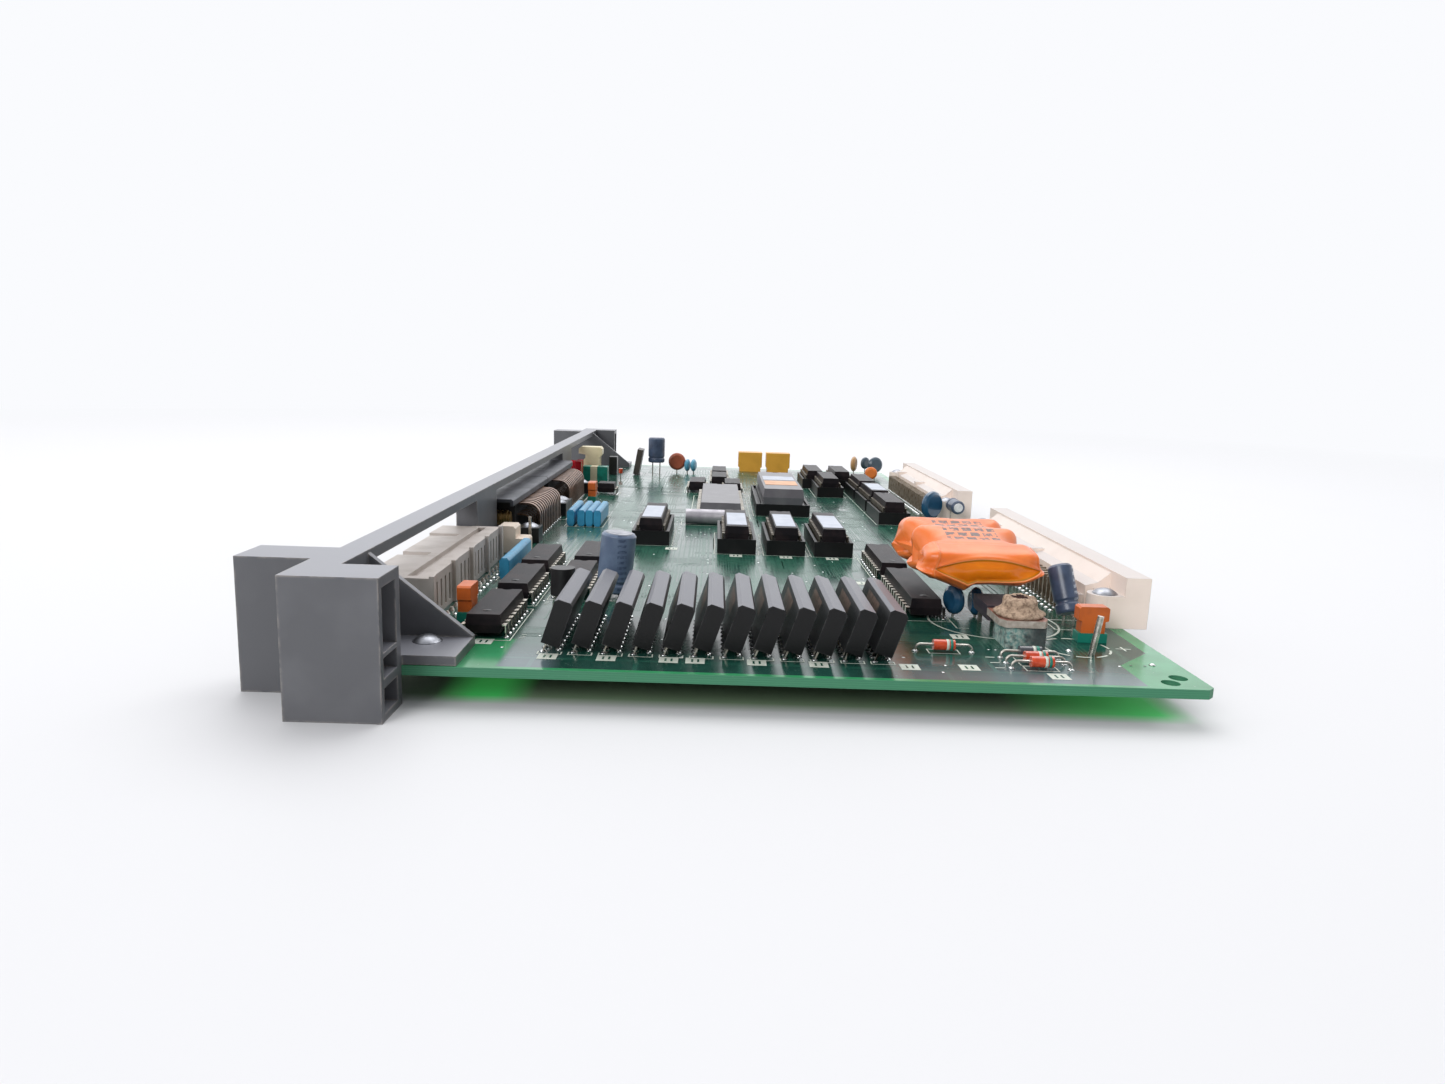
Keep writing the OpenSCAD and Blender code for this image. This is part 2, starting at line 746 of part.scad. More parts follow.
module far_network() {
    color("#3a332f")
        translate([22.4, 274, 0.3])
            rotate([0, 10, 0])
                span([-1.25, 0, 0], [1.25, 9, 11]);
}

// Sleeved can: a groove near the closed end and a rounded rim, standing on the origin
module can(d, length) {
    r = d / 2;
    rotate_extrude()
        polygon([[0, 0], [r - 0.3, 0], [r, 0.4], [r, 1.6], [r - 0.3, 2], [r - 0.3, 2.3], [r, 2.7],
            [r, length - 0.5], [r - 0.4, length], [0, length]]);
}

module tall_capacitor() {
    color("#7f8ea3")
        translate([tall_cap_at[0], tall_cap_at[1], 1.2])
            rotate([0, 5, 0])
                can(tall_cap_d, tall_cap_l);
}

module plug_capacitor() {
    color("#3a4453")
        translate([board_w - 10.3, 38, 2.4])
            rotate([-26, -8, 0])
                can(4.8, 9.8);
}

// Small can that lies along y with its bare end to the near side
module end_capacitor() {
    color("#2d3440")
        translate([end_cap_x, end_cap_y, 6])
            rotate([90, 0, 0])
                can(4.4, 8.4);
}

module far_capacitor() {
    color("#39424f")
        translate([31, 280, 5.4])
            can(7.2, 10.8);
}

// Boxed film capacitors at the far edge
module film_capacitors() {
    color("#d5a11e")
        for (x = [mid_x(68), mid_x(68) + 13])
            along_y(303, 7)
                polygon([[x + 0.6, 0], [x + 10.5, 0], [x + 10.5, 1.9], [x + 11.1, 2.3], [x + 11.1, 9], [x, 9],
                    [x, 2.3], [x + 0.6, 1.9]]);
}

// Lens-shaped dipped disc whose axis lies along y before it is turned
module dipped_disc(p) {
    d = p[3];
    thick = p[4];
    translate([p[0], p[1], p[2]])
        rotate([90, 0, p[5]])
            rotate_extrude()
                polygon([[0, -thick / 2], [d / 2 - 1, -thick / 2], [d / 2 - 0.2, -thick / 4], [d / 2, 0],
                    [d / 2 - 0.2, thick / 4], [d / 2 - 1, thick / 2], [0, thick / 2]]);
}

module ceramic_disc() {
    color("#8a4630")
        dipped_disc(brown_disc);
}

// Blue discs: one before the far plug, two that stand under the battery
module blue_discs() {
    color("#2f5f86")
        for (p = blue_disc_places)
            dipped_disc(p);
}

// Dipped drops at the far edge
module drop_capacitors() {
    color("#5d6a74")
        for (p = drop_places)
            dipped_disc(p);
}

// Two light blue capacitors and an orange one near the far edge
module small_capacitors() {
    color("#5fa3bd")
        for (p = small_disc_places)
            dipped_disc(p);
}

module crystal_can() {
    color("#b9b7b6")
        translate([0, 147, 2.35])
            rod_x(mid_x(48.4), 12, 4.6);
}

// Three wrapped cells side by side as one sealed pack, with rounded ends
module battery_pack() {
    r = cell_d / 2;
    edge = 1.6;
    overlap = 0.25;
    color("#f08a4b")
        for (i = [0 : 2])
            translate([cell_x, cell_y + i * (cell_d - overlap), cell_z])
                rotate([0, 90, 0])
                    rotate_extrude()
                        polygon([[0, 0], [r - edge, 0], [r - 0.5, 0.5], [r, edge], [r, cell_l - edge],
                            [r - 0.5, cell_l - 0.5], [r - edge, cell_l], [0, cell_l]]);
}

// Flat power package that lies face down, its metal back and tab upward
module regulator_body() {
    color("#3b353c")
        translate([regulator_x, 0, 0])
            along_y(28.5, 9.8)
                polygon([[-4.1, 2.9], [4.1, 2.9], [4.4, 4.2], [4.4, regulator_top], [-4.4, regulator_top],
                    [-4.4, 4.2]]);
}

module regulator_tab() {
    color("#9b6f5f")
        difference() {
            translate([regulator_x, 0, tab_top - 1.3])
                linear_extrude(1.3)
                    polygon([[-4.4, 28.5], [-4.4, 20.8], [-3.5, 19.2], [3.5, 19.2], [4.4, 20.8], [4.4, 28.5]]);
            translate([regulator_x, 23.6, 0])
                cylinder(d = 3.8, h = 10);
        }
}

module regulator_leads() {
    color("#c4beb2")
        for (i = [-1, 0, 1])
            translate([regulator_x + i * lead_pitch, 0, 0])
                along_x(-0.4, 0.8)
                    polygon([[38.3, 3.5], [38.3, 3], [38.9, 3], [38.9, 0], [39.4, 0], [39.4, 3.5]]);
}

module regulator_pad() {
    color("#202022")
        span([regulator_x - 3.2, 19.8, 0], [regulator_x + 4, 27.4, tab_top - 1.3]);
}

// Crusted screw head on the tab
module screw_lump() {
    color("#a8997c")
        translate([regulator_x, 23.6, tab_top])
            rotate_extrude()
                polygon([[0, 0], [4, 0], [3.9, 0.9], [3.1, 1.5], [2.9, 2.8], [2.2, 3.5], [0, 3.7]]);
}

module diodes() {
    body_d = 1.9;
    color("#d2492f") {
        for (p = diode_places)
            translate([0, p[1], p[2]])
                rod_x(p[0] - 1.9, 3.8, body_d);
        translate([17, 262, 2])
            cylinder(d = 1.8, h = 2);
    }
}

module transistor() {
    color("#1e1e20")
        translate([27.4, 40, 2.6])
            linear_extrude(5.4)
                intersection() {
                    circle(d = 4.8);
                    translate([-3, -3])
                        square([6, 4.9]);
                }
}

// One bent end of an axial wire: out along x, then down
module axial_end(x0, out, z, d) {
    bend = 0.9;
    translate([0, 0, z])
        rod_x(x0, out - bend, d);
    translate([x0 + out, 0, 0])
        cylinder(d = d, h = z - bend, $fn = 24);
    translate([x0 + out - bend, 0, z - bend])
        rotate([90, 0, 0])
            rotate_extrude(angle = 90, $fn = 24)
                translate([bend, 0])
                    circle(d = d);
}

// Round wires of the small parts
module component_wires() {
    d = 0.5;
    color("#d6d3cc") {
        for (p = diode_places)
            translate([p[0], p[1], 0])
                for (s = [0, 1])
                    mirror([s, 0, 0])
                        axial_end(1.9, 3.1, p[2], d);
        drop_wire(17, 262, 2);
        for (x = [-1.27, 0, 1.27])
            drop_wire(27.4 + x, 40, 2.6);
        for (s = [-1, 1]) {
            drop_wire(tall_cap_at[0] - 0.4 + s * 1.6, tall_cap_at[1], 1);
            drop_wire(board_w - 10.4 + s * 1, 37.6, 2.1);
            drop_wire(31 + s * 1.6, 280, 5.4);
        }
        drop_wire(end_cap_x, end_cap_y + 1, 6.25);
        translate([end_cap_x, end_cap_y + 1.25, 6])
            rotate([90, 0, 0])
                cylinder(d = d, h = 1.25, $fn = 24);
        for (p = all_discs)
            drop_wire(p[0], p[1], p[2] - p[3] / 2);
        span([cell_x + cell_l, cell_y + 2 * cell_d - 1.6, 0], [cell_x + cell_l + 0.3, cell_y + 2 * cell_d + 0.6, cell_z]);
    }
}

module post_pin() {
    color("#c2bcae")
        intersection() {
            translate([board_w - 13.5, 17.6, -0.2])
                rotate([0, 8, 0])
                    cylinder(d = 1.1, h = 7.4, $fn = 24);
            span([board_w - 18, 15, 0], [board_w - 8, 20, 9]);
        }
}

// Moves the board's frame to the card's: origin under the middle, bottom of the panel at zero
module placed() {
    translate([-card_mid_x, -board_l / 2, panel_drop])
        children();
}

placed() circuit_board();
placed() front_panel();
placed() panel_rivets();
placed() near_plug_housing();
placed() far_plug_housing();
placed() near_plug_contacts();
placed() far_plug_contacts();
placed() plug_rivets();
placed() ribbon_header();
placed() ribbon_header_tails();
placed() header_end_block();
placed() near_port_shell();
placed() far_port_shell();
placed() port_inserts();
placed() port_jackscrews();
placed() port_ears();
placed() port_rivets();
placed() near_port_leads();
placed() far_port_leads();
placed() test_pin();
placed() jumper_bases();
placed() jumper_plugs();
placed() lamp_pair();
placed() lamp_switch();
placed() teal_selector();
placed() small_relay();
placed() memory_chips();
placed() memory_leads();
placed() logic_chips();
placed() logic_leads();
placed() wide_chip();
placed() wide_leads();
placed() chip_sockets();
placed() socketed_chips();
placed() socketed_leads();
placed() wide_socket();
placed() wide_socketed_chip();
placed() chip_labels();
placed() resistor_networks();
placed() far_network();
placed() tall_capacitor();
placed() plug_capacitor();
placed() end_capacitor();
placed() far_capacitor();
placed() film_capacitors();
placed() ceramic_disc();
placed() blue_discs();
placed() drop_capacitors();
placed() small_capacitors();
placed() crystal_can();
placed() battery_pack();
placed() regulator_body();
placed() regulator_tab();
placed() regulator_leads();
placed() regulator_pad();
placed() screw_lump();
placed() diodes();
placed() transistor();
placed() component_wires();
placed() post_pin();
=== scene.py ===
# %% [markdown]
# # A populated rack card, dressed for the studio
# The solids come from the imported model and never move. This lesson gives each of them a
# procedural finish, then adds what is too fine for the solids: copper tracks, solder,
# white legend print, shrink film on the battery and a crusted screw.

# %% Load the frame
import math
import random
import bmesh
import bpy
from mathutils import Matrix, Vector, noise


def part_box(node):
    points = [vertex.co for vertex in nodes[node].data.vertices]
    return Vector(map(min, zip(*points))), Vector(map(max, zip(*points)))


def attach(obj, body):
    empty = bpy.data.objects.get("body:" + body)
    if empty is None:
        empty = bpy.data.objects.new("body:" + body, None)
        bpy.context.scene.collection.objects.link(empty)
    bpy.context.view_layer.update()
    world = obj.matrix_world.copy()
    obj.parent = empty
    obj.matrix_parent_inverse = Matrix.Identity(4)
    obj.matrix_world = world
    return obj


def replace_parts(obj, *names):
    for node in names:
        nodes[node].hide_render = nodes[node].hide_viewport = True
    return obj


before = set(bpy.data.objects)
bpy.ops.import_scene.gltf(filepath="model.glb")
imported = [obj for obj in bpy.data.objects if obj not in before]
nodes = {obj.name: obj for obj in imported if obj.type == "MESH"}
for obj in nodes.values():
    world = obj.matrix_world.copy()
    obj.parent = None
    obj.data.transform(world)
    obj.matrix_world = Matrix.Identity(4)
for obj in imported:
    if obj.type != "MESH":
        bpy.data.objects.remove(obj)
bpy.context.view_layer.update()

MM = 0.001
board_low, board_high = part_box("circuit_board")
low_mm, high_mm = board_low / MM, board_high / MM
corner = Vector((board_low.x, board_low.y, board_high.z))


def on_board(x, y, z=0.0):
    """A point in mm from the board's near front corner and its top face, in metres."""
    return corner + Vector((x, y, z)) * MM


def x_mm(x):
    """A place across the board as the model's x, in mm."""
    return on_board(x, 0).x / MM


def y_mm(y):
    """A place along the board as the model's y, in mm."""
    return on_board(0, y).y / MM


# %% [markdown]
# ## Camera
# The photograph was taken from just above the near edge, level enough to see under the
# front panel. Its focal length and place were solved from known pitches on the board, so
# the matrix is written from that solution: a small pitch down and a slight roll.

# %% Camera
FRAME_W = 1445
FOCAL_PX = 957.7
CAMERA_AT = (56.55, -145.43, 48.03)
PITCH_ROLL_YAW = (10.37, -0.5, 1.91)

turn = Vector([math.radians(a) for a in PITCH_ROLL_YAW])
world_to_lens = Matrix.Rotation(turn.length, 3, turn.normalized()) @ Matrix(
    ((1, 0, 0), (0, 0, -1), (0, 1, 0)))
lens = bpy.data.cameras.new("studio_camera")
lens.sensor_width = 36.0
lens.lens = FOCAL_PX / FRAME_W * lens.sensor_width
lens.clip_start, lens.clip_end = 0.01, 20.0
camera = bpy.data.objects.new("studio_camera", lens)
axes = Matrix((world_to_lens[0], -world_to_lens[1], -world_to_lens[2])).transposed()
camera.matrix_world = Matrix.Translation(on_board(*CAMERA_AT)) @ axes.to_4x4()
bpy.context.scene.collection.objects.link(camera)
bpy.context.scene.camera = camera
bpy.context.scene.view_settings.view_transform = "Standard"
print("lens mm", round(lens.lens, 2), "camera", [round(v, 4) for v in camera.location])


# %% [markdown]
# ## Helpers for materials
# One function turns sRGB hex values to linear, one adds a node with its settings and its
# links. Everything is in metres, so a grain of 0.4 mm is a noise scale of 1 / 0.0004.

# %% Node helpers
def linear(code):
    """sRGB hex such as "1f5a3c" as linear RGBA."""
    parts = [int(code[i:i + 2], 16) / 255 for i in (0, 2, 4)]
    return [p / 12.92 if p <= 0.04045 else ((p + 0.055) / 1.055) ** 2.4 for p in parts] + [1.0]


def put(tree, kind, links=None, **settings):
    """Adds one node. Settings go to its properties or sockets, links to its sockets."""
    node = tree.nodes.new(kind)
    for key, value in settings.items():
        if hasattr(node, key):
            setattr(node, key, value)
        else:
            node.inputs[key.replace("_", " ")].default_value = value
    for key, source in (links or {}).items():
        tree.links.new(source, node.inputs[key])
    return node


FINISHES = {}


def start(name, **sockets):
    """A new finish with its shader's constants; gives its tree and its Object coordinates."""
    made = FINISHES[name] = bpy.data.materials.new(name)
    made.use_nodes = True
    tree = made.node_tree
    for key, value in sockets.items():
        tree.nodes["Principled BSDF"].inputs[key.replace("_", " ")].default_value = value
    return tree, put(tree, "ShaderNodeTexCoord").outputs["Object"]


def feed(source, socket="Base Color"):
    """Links a source to a socket of its tree's Principled shader."""
    tree = source.id_data
    tree.links.new(source, tree.nodes["Principled BSDF"].inputs[socket])


def maths(operation, *terms, **settings):
    """One Math node in its sockets' tree; each term is a number or a socket."""
    tree = next(term.id_data for term in terms if not isinstance(term, (int, float)))
    node = put(tree, "ShaderNodeMath", operation=operation, **settings)
    for index, term in enumerate(terms):
        if isinstance(term, (int, float)):
            node.inputs[index].default_value = term
        else:
            tree.links.new(term, node.inputs[index])
    return node.outputs[0]


def times(first, second):
    return maths("MULTIPLY", first, second)


def ramp(value, low, high, first=0.0, last=1.0):
    """Maps low to first and high to last, and holds those beyond."""
    return put(value.id_data, "ShaderNodeMapRange", {"Value": value}, From_Min=low, From_Max=high,
               To_Min=first, To_Max=last).outputs["Result"]


def part_of(vector, axis):
    """One part of a vector; axis is 0, 1 or 2."""
    return put(vector.id_data, "ShaderNodeSeparateXYZ", {"Vector": vector}).outputs[axis]


def blend(factor, first, second):
    """Mixes two colours by a socket; each colour is a hex value or a socket."""
    tree = factor.id_data
    mix = put(tree, "ShaderNodeMix", {0: factor}, data_type="RGBA")
    for index, value in ((6, first), (7, second)):
        if isinstance(value, str):
            mix.inputs[index].default_value = linear(value)
        else:
            tree.links.new(value, mix.inputs[index])
    return mix.outputs[2]


# %% Pattern helpers
def spread(place, size_mm, low, high, detail=3.0):
    """Noise with features of size_mm, stretched so that low and high map to 0 and 1."""
    patches = put(place.id_data, "ShaderNodeTexNoise", {"Vector": place}, Scale=1 / (size_mm * MM),
                  Detail=detail, Roughness=0.55)
    return ramp(patches.outputs[0], low, high)


def mottle(place, size_mm, low, high, first, second):
    """Two colours in noise patches of size_mm."""
    return blend(spread(place, size_mm, low, high), first, second)


def window(place, axis, low, high, soft=0.1):
    """1 where the coordinate on an axis lies between two places in mm, else 0."""
    part = part_of(place, axis)
    up = ramp(part, (low - soft) * MM, low * MM)
    return times(up, ramp(part, high * MM, (high + soft) * MM, 1.0, 0.0))


def field(place, across, along, soft_x=0.1, soft_y=0.1):
    """1 in a rectangle given by (low, high) across and along, in mm, else 0."""
    return times(window(place, 0, *across, soft_x),
                 window(place, 1, *along, soft_y))


def facing(tree, axis, first, full, share=1.0):
    """How far a face turns to an axis: 0 where its normal's part is first, share at full."""
    normal = put(tree, "ShaderNodeNewGeometry").outputs["True Normal"]
    return ramp(part_of(normal, axis), first, full, 0.0, share)


def rounded(tree, radius_mm):
    """The normal of a surface whose edges are rounded."""
    return put(tree, "ShaderNodeBevel", samples=4, Radius=radius_mm * MM).outputs["Normal"]


def worn_edges(tree, radius_mm):
    """1 on sharp edges, 0 on flats: how far a rounded normal leaves the true one."""
    true = put(tree, "ShaderNodeNewGeometry").outputs["True Normal"]
    dot = put(tree, "ShaderNodeVectorMath", {0: rounded(tree, radius_mm), 1: true},
              operation="DOT_PRODUCT").outputs["Value"]
    return ramp(maths("SUBTRACT", 1.0, dot), 0.02, 0.3)


def bumpy(height, strength, deep_mm, normal=None):
    """Bump from a height field, over a rounded normal if one is given."""
    links = {"Height": height}
    if normal is not None:
        links["Normal"] = normal
    bump = put(height.id_data, "ShaderNodeBump", links, Strength=strength, Distance=deep_mm * MM)
    feed(bump.outputs["Normal"], "Normal")


# %% [markdown]
# ## Moulded and dipped finishes
# Most parts are moulded plastic or dipped epoxy: a body colour that drifts a little, dust
# in broad patches, a fine grain, and edges that catch the light because they are rounded.
# One recipe serves them all with different colours, grain and gloss. Some also get
# painted light or shade on their top or front faces.

# %% Moulded recipe
def moulded(name, body, dust, gloss, grain_mm, grain, edge_mm, dusty, edge=None, edge_share=0.6,
            blotch_mm=6.0, wear_mm=None, top=None, front=None, mark=None, other=None, **sockets):
    """Body and dust, then tints on some faces, where the top and front tints are painted light or
    shade, worn edges and grain where they are asked for.
    """
    tree, place = start(name, Roughness=gloss, **sockets)
    patches = times(spread(place, blotch_mm, 0.42, 0.72), dusty)
    colour = blend(patches, body, dust)
    if other:
        tint, first, last = other
        colour = blend(window(place, 0, x_mm(first), x_mm(last)), colour, tint)
    if mark:
        tint, node = mark
        low, high = (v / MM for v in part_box(node))
        spot = times(window(place, 1, low.lerp(high, 0.35).y, low.lerp(high, 0.8).y),
                     window(place, 2, low.lerp(high, 0.5).z, low.lerp(high, 0.85).z))
        spot = times(spot, spread(place, 1.0, 0.3, 0.5))
        colour = blend(times(spot, facing(tree, 0, -0.6, -0.9)), colour, tint)
    # painted light or shade: top faces take a lighter or darker tint for how light falls on them
    if top:
        colour = blend(facing(tree, 2, 0.6, 0.95, 0.8), colour, top)
    # painted shade: faces toward the camera take a darker tint
    if front:
        colour = blend(facing(tree, 1, -0.6, -0.9, 0.9), colour, front)
    if edge:
        wear_mm = wear_mm or edge_mm * 2.2
        broken = spread(place, max(1.6, wear_mm * 3), 0.38, 0.6, 5.0)
        worn = times(worn_edges(tree, wear_mm), broken)
        colour = blend(times(worn, edge_share), colour, edge)
    feed(colour)
    bumpy(spread(place, grain_mm, 0.2, 0.8, 4.0), grain, 0.04, rounded(tree, edge_mm))


# %% Moulded finishes
# body, dust, roughness, grain mm, depth of grain, rounding mm, share of dust
MOULDED = {
    # ABS, spark-eroded mould, rubbed pale on its edges by years of handling
    "panel_abs": ("56575b", "66676b", 0.38, 0.5, 0.3, 0.25, 0.7),
    # glass-filled polyester of the plugs, satin ivory that has yellowed slightly
    "plug_polyester": ("f0e0d5", "dac9bc", 0.48, 0.4, 0.2, 0.2, 0.45),
    "header_polyester": ("c0b7b1", "9f9489", 0.45, 0.4, 0.25, 0.15, 0.6),
    "cream_nylon": ("e6d6c6", "c9b59d", 0.45, 0.4, 0.2, 0.2, 0.4),
    "switch_nylon": ("e3d8b4", "bfb084", 0.4, 0.4, 0.2, 0.2, 0.5),
    "socket_pbt": ("0b0b0d", "18181a", 0.4, 0.3, 0.2, 0.1, 0.6),
    "ear_pbt": ("18181a", "2c2b2d", 0.42, 0.3, 0.2, 0.12, 0.6),
    # moulded epoxy of the chips, matt from the mould, edges worn to a paler grey
    "chip_epoxy": ("1d1b1e", "352b2c", 0.33, 0.18, 0.4, 0.12, 0.7),
    "memory_epoxy": ("1d1d1f", "2b2b2e", 0.34, 0.3, 0.5, 0.16, 0.7),
    "wide_epoxy": ("5d5b60", "6e6c70", 0.34, 0.2, 0.3, 0.14, 0.7),
    "power_epoxy": ("352f37", "4b4148", 0.4, 0.2, 0.4, 0.14, 0.8),
    "network_epoxy": ("3590b8", "20719a", 0.36, 0.9, 0.6, 0.6, 0.7),
    "dark_network_epoxy": ("37312d", "4b423b", 0.4, 0.6, 0.5, 0.3, 0.7),
    "film_box": ("d89f3a", "bd892c", 0.35, 0.4, 0.2, 0.25, 0.5),
    "brown_dip": ("ab583c", "8a432d", 0.3, 0.8, 0.3, 0.2, 0.6),
    "blue_dip": ("22506f", "163a54", 0.22, 0.9, 0.35, 0.2, 0.7),
    "grey_dip": ("42525f", "586168", 0.32, 0.8, 0.3, 0.2, 0.8),
    "light_blue_dip": ("5a9fbb", "437f9c", 0.3, 0.8, 0.3, 0.2, 0.6),
    "teal_pbt": ("127a68", "0c5c50", 0.35, 0.4, 0.2, 0.15, 0.5),
    "jumper_nylon": ("c9601f", "a34a18", 0.38, 0.4, 0.25, 0.15, 0.5),
    "relay_pbt": ("1a1a1c", "2d2c2e", 0.35, 0.4, 0.2, 0.15, 0.5),
    "lamp_lens": ("c8202f", "a01524", 0.15, 0.8, 0.05, 0.2, 0.4),
    "insert_pbt": ("232327", "3a3838", 0.5, 0.4, 0.3, 0.12, 0.7),
    "white_print": ("ced3c8", "adb7a8", 0.55, 0.3, 0.2, 0.02, 0.5),
}
# pale worn edges, tinted faces, with painted light or shade on tops and fronts, and other sockets of
# some of them
EXTRAS = {
    # the panel's paler top is a painted highlight
    "panel_abs": dict(edge="aaa29b", edge_share=0.75, blotch_mm=14.0, wear_mm=0.7, top="86878f"),
    # the plugs' greyer, darker top is painted shade
    "plug_polyester": dict(edge="efe6dd", edge_share=0.4, blotch_mm=9.0, top="bfb9b7"),
    "header_polyester": dict(edge="d8d1ca", edge_share=0.5, blotch_mm=5.0),
    "socket_pbt": dict(edge="3c3a3a", edge_share=0.4, Specular_IOR_Level=0.35),
    "chip_epoxy": dict(edge="77726f", blotch_mm=4.0, Specular_IOR_Level=0.05),
    # the memory chips' paler tops are a painted highlight and their near-black near faces are painted
    # shade
    "memory_epoxy": dict(edge="69696a", blotch_mm=4.0, top="6a6b74", front="0a0a0b",
                         mark=("6a574e", "memory_chips"), Specular_IOR_Level=0.32),
    "wide_epoxy": dict(edge="8c8a8c", edge_share=0.5, blotch_mm=5.0),
    "power_epoxy": dict(edge="6b6062", edge_share=0.5, blotch_mm=3.0),
    "network_epoxy": dict(blotch_mm=2.0),
    "film_box": dict(edge="e4b94d", edge_share=0.4),
    "brown_dip": dict(blotch_mm=2.5),
    "blue_dip": dict(blotch_mm=2.5, Coat_Weight=0.5),
    "grey_dip": dict(blotch_mm=3.0, other=("ad8556", 118, 124)),
    "light_blue_dip": dict(blotch_mm=2.5, other=("d8742f", 120, 138)),
    "jumper_nylon": dict(edge="ec8f50", edge_share=0.5, blotch_mm=2.5),
    "lamp_lens": dict(Transmission_Weight=0.25),
    "white_print": dict(blotch_mm=1.5),
}
for name, look in MOULDED.items():
    moulded(name, *look, **EXTRAS.get(name, {}))
print("moulded finishes", len(FINISHES))


# %% [markdown]
# ## Metals
# Tin plate, bronze leads, brass and the zinc-plated hood differ in colour and polish. A
# broad noise tarnishes each one and raises its roughness where it is dull. The tin leads
# also get painted shade on faces turned from the light.

# %% Metal recipe
SHADE_TURN_MM = 80.0


def metal(name, bright, dull, polish, dullness, patch_mm, edge_mm=0.08, metallic=1.0, painted_shade_colour=None):
    tree, place = start(name, Metallic=metallic)
    tarnish = spread(place, patch_mm, 0.35, 0.7)
    colour = blend(tarnish, bright, dull)
    if painted_shade_colour:
        # painted shade: darker on faces that look to the plugs, and right of the turn on near faces
        # too
        turn_at = x_mm(SHADE_TURN_MM)
        right = window(place, 0, turn_at, turn_at + 200.0)
        colour = blend(facing(tree, 0, 0.6, 0.9), colour, painted_shade_colour)
        colour = blend(times(right, facing(tree, 1, -0.6, -0.9)), colour, painted_shade_colour)
    feed(colour)
    feed(ramp(tarnish, 0.0, 1.0, polish, dullness), "Roughness")
    bumpy(spread(place, 0.25, 0.2, 0.8), 0.15, 0.03, rounded(tree, edge_mm))


# bright, dull, roughness of each, size of the tarnish in mm, then rounding in mm, metallic and a
# painted shade colour
METALS = {
    "rivet_aluminium": ("9b9da3", "7f8187", 0.36, 0.5, 1.5, 0.2),
    "tin_plate": ("d6d2ca", "958e85", 0.25, 0.5, 1.2),
    # dual-in-line leads, with painted shade on the faces that look to the plugs and on near faces
    # right of the turn
    "lead_tin": ("ddd8ce", "a49c90", 0.3, 0.55, 1.2, 0.08, 1.0, "302c28"),
    "socket_contact": ("8d8579", "5b544b", 0.35, 0.6, 1.2),
    "can_aluminium": ("f0f1f3", "dcdde0", 0.45, 0.6, 1.2, 0.08, 0.6),
    "solder_tin": ("e2e4e4", "b4b6b4", 0.18, 0.42, 0.8),
    "plug_bronze": ("b3a796", "7d7265", 0.35, 0.6, 1.5),
    "hood_zinc": ("4e5057", "44464c", 0.42, 0.5, 5.0, 0.15, 0.5),
    "screw_brass": ("b99b66", "7c6340", 0.3, 0.55, 0.9),
    "crystal_steel": ("b4b1b6", "96939a", 0.48, 0.6, 4.0, 0.3, 0.7),
}
for name, look in METALS.items():
    metal(name, *look)

# %% Port leads
PORT_PITCH, PORT_MIDDLES = 2.77, {"near_leads_bronze": 133.5, "far_leads_bronze": 187.0}
LEAD_HALF_MM, GAP_HALF_MM = 0.55, 0.8


def ribbed(name, centre):
    """Bronze leads at the port's pitch: bright along each lead, with painted shade, near black, in
    the gaps between them.
    """
    tree, place = start(name, Metallic=0.55, Roughness=0.38)
    phase = maths("SUBTRACT", part_of(place, 1), centre)
    step = maths("WRAP", phase, PORT_PITCH / 2 * MM, -PORT_PITCH / 2 * MM)
    gap = ramp(maths("ABSOLUTE", step), LEAD_HALF_MM * MM, GAP_HALF_MM * MM)
    bronze = mottle(place, 1.6, 0.35, 0.7, "a3836f", "6e5344")
    # painted shade: a near-black stripe in each gap between the upper leads, over the lower row that
    # sits in them
    feed(blend(gap, bronze, "100c0a"))


for name, middle in PORT_MIDDLES.items():
    ribbed(name, on_board(0, middle).y)
print("all finishes", len(FINISHES))


# %% [markdown]
# ## Solder mask over laminate
# The board is glass epoxy under a glossy green mask. Where copper lies under the mask it
# is dark; the bare border, one corner and a patch by the panel's foot let light through
# and are a much brighter green. The sawn edge shows the raw laminate. The gloss mirrors
# the room.

# %% Copper under the mask
FRONT_BORDER_MM, BORDER_MM, NEAR_BORDER_MM, FAR_BORDER_MM = 1.0, 3.0, 1.2, 3.0
CORNER_MM, CORNER_SLANT_MM = 10.5, 22.8
BARE_X, BARE_Y = (12.0, 22.5), (0.0, 16.0)
POUR_MM, LAYER_MM = 34, 1.2


def waves(place):
    """The slight waviness of the mask, in the laminate and on the tracks."""
    bumpy(spread(place, 2.2, 0.2, 0.8), 0.07, 0.05)


tree, place = start("green_mask_laminate", IOR=1.5)
copper_at = field(place, (low_mm.x + FRONT_BORDER_MM, high_mm.x - BORDER_MM),
                  (low_mm.y + NEAR_BORDER_MM, high_mm.y - FAR_BORDER_MM), 0.3, 0.3)
# a copper-free corner round the tooling holes, bevelled on its far side
slant = maths("SUBTRACT", part_of(place, 0), part_of(place, 1))
bevel_at = high_mm.x - low_mm.y - CORNER_SLANT_MM
free = times(ramp(slant, bevel_at * MM, (bevel_at + 0.4) * MM),
             window(place, 0, high_mm.x - CORNER_MM, high_mm.x, 0.3))
# and a clear patch beside the panel's foot
patch = field(place, [x_mm(x) for x in BARE_X], [y_mm(y) for y in BARE_Y], 1.0, 1.0)
free = maths("MAXIMUM", free, patch)
copper_at = times(copper_at, maths("SUBTRACT", 1.0, free))
# copper pour in big rectangles: a coarse brick pattern switches two dark greens
pour = put(tree, "ShaderNodeTexBrick", {"Vector": place}, Scale=1 / (POUR_MM * MM), Mortar_Size=0.012,
           Color1=linear("14362e"), Color2=linear("1a423a"), Mortar=linear("2b5d4e"))
copper = mottle(place, 9.0, 0.35, 0.7, pour.outputs["Color"], "204f44")
top = blend(copper_at, mottle(place, 6.0, 0.3, 0.75, "3a9562", "2d7f50"), copper)
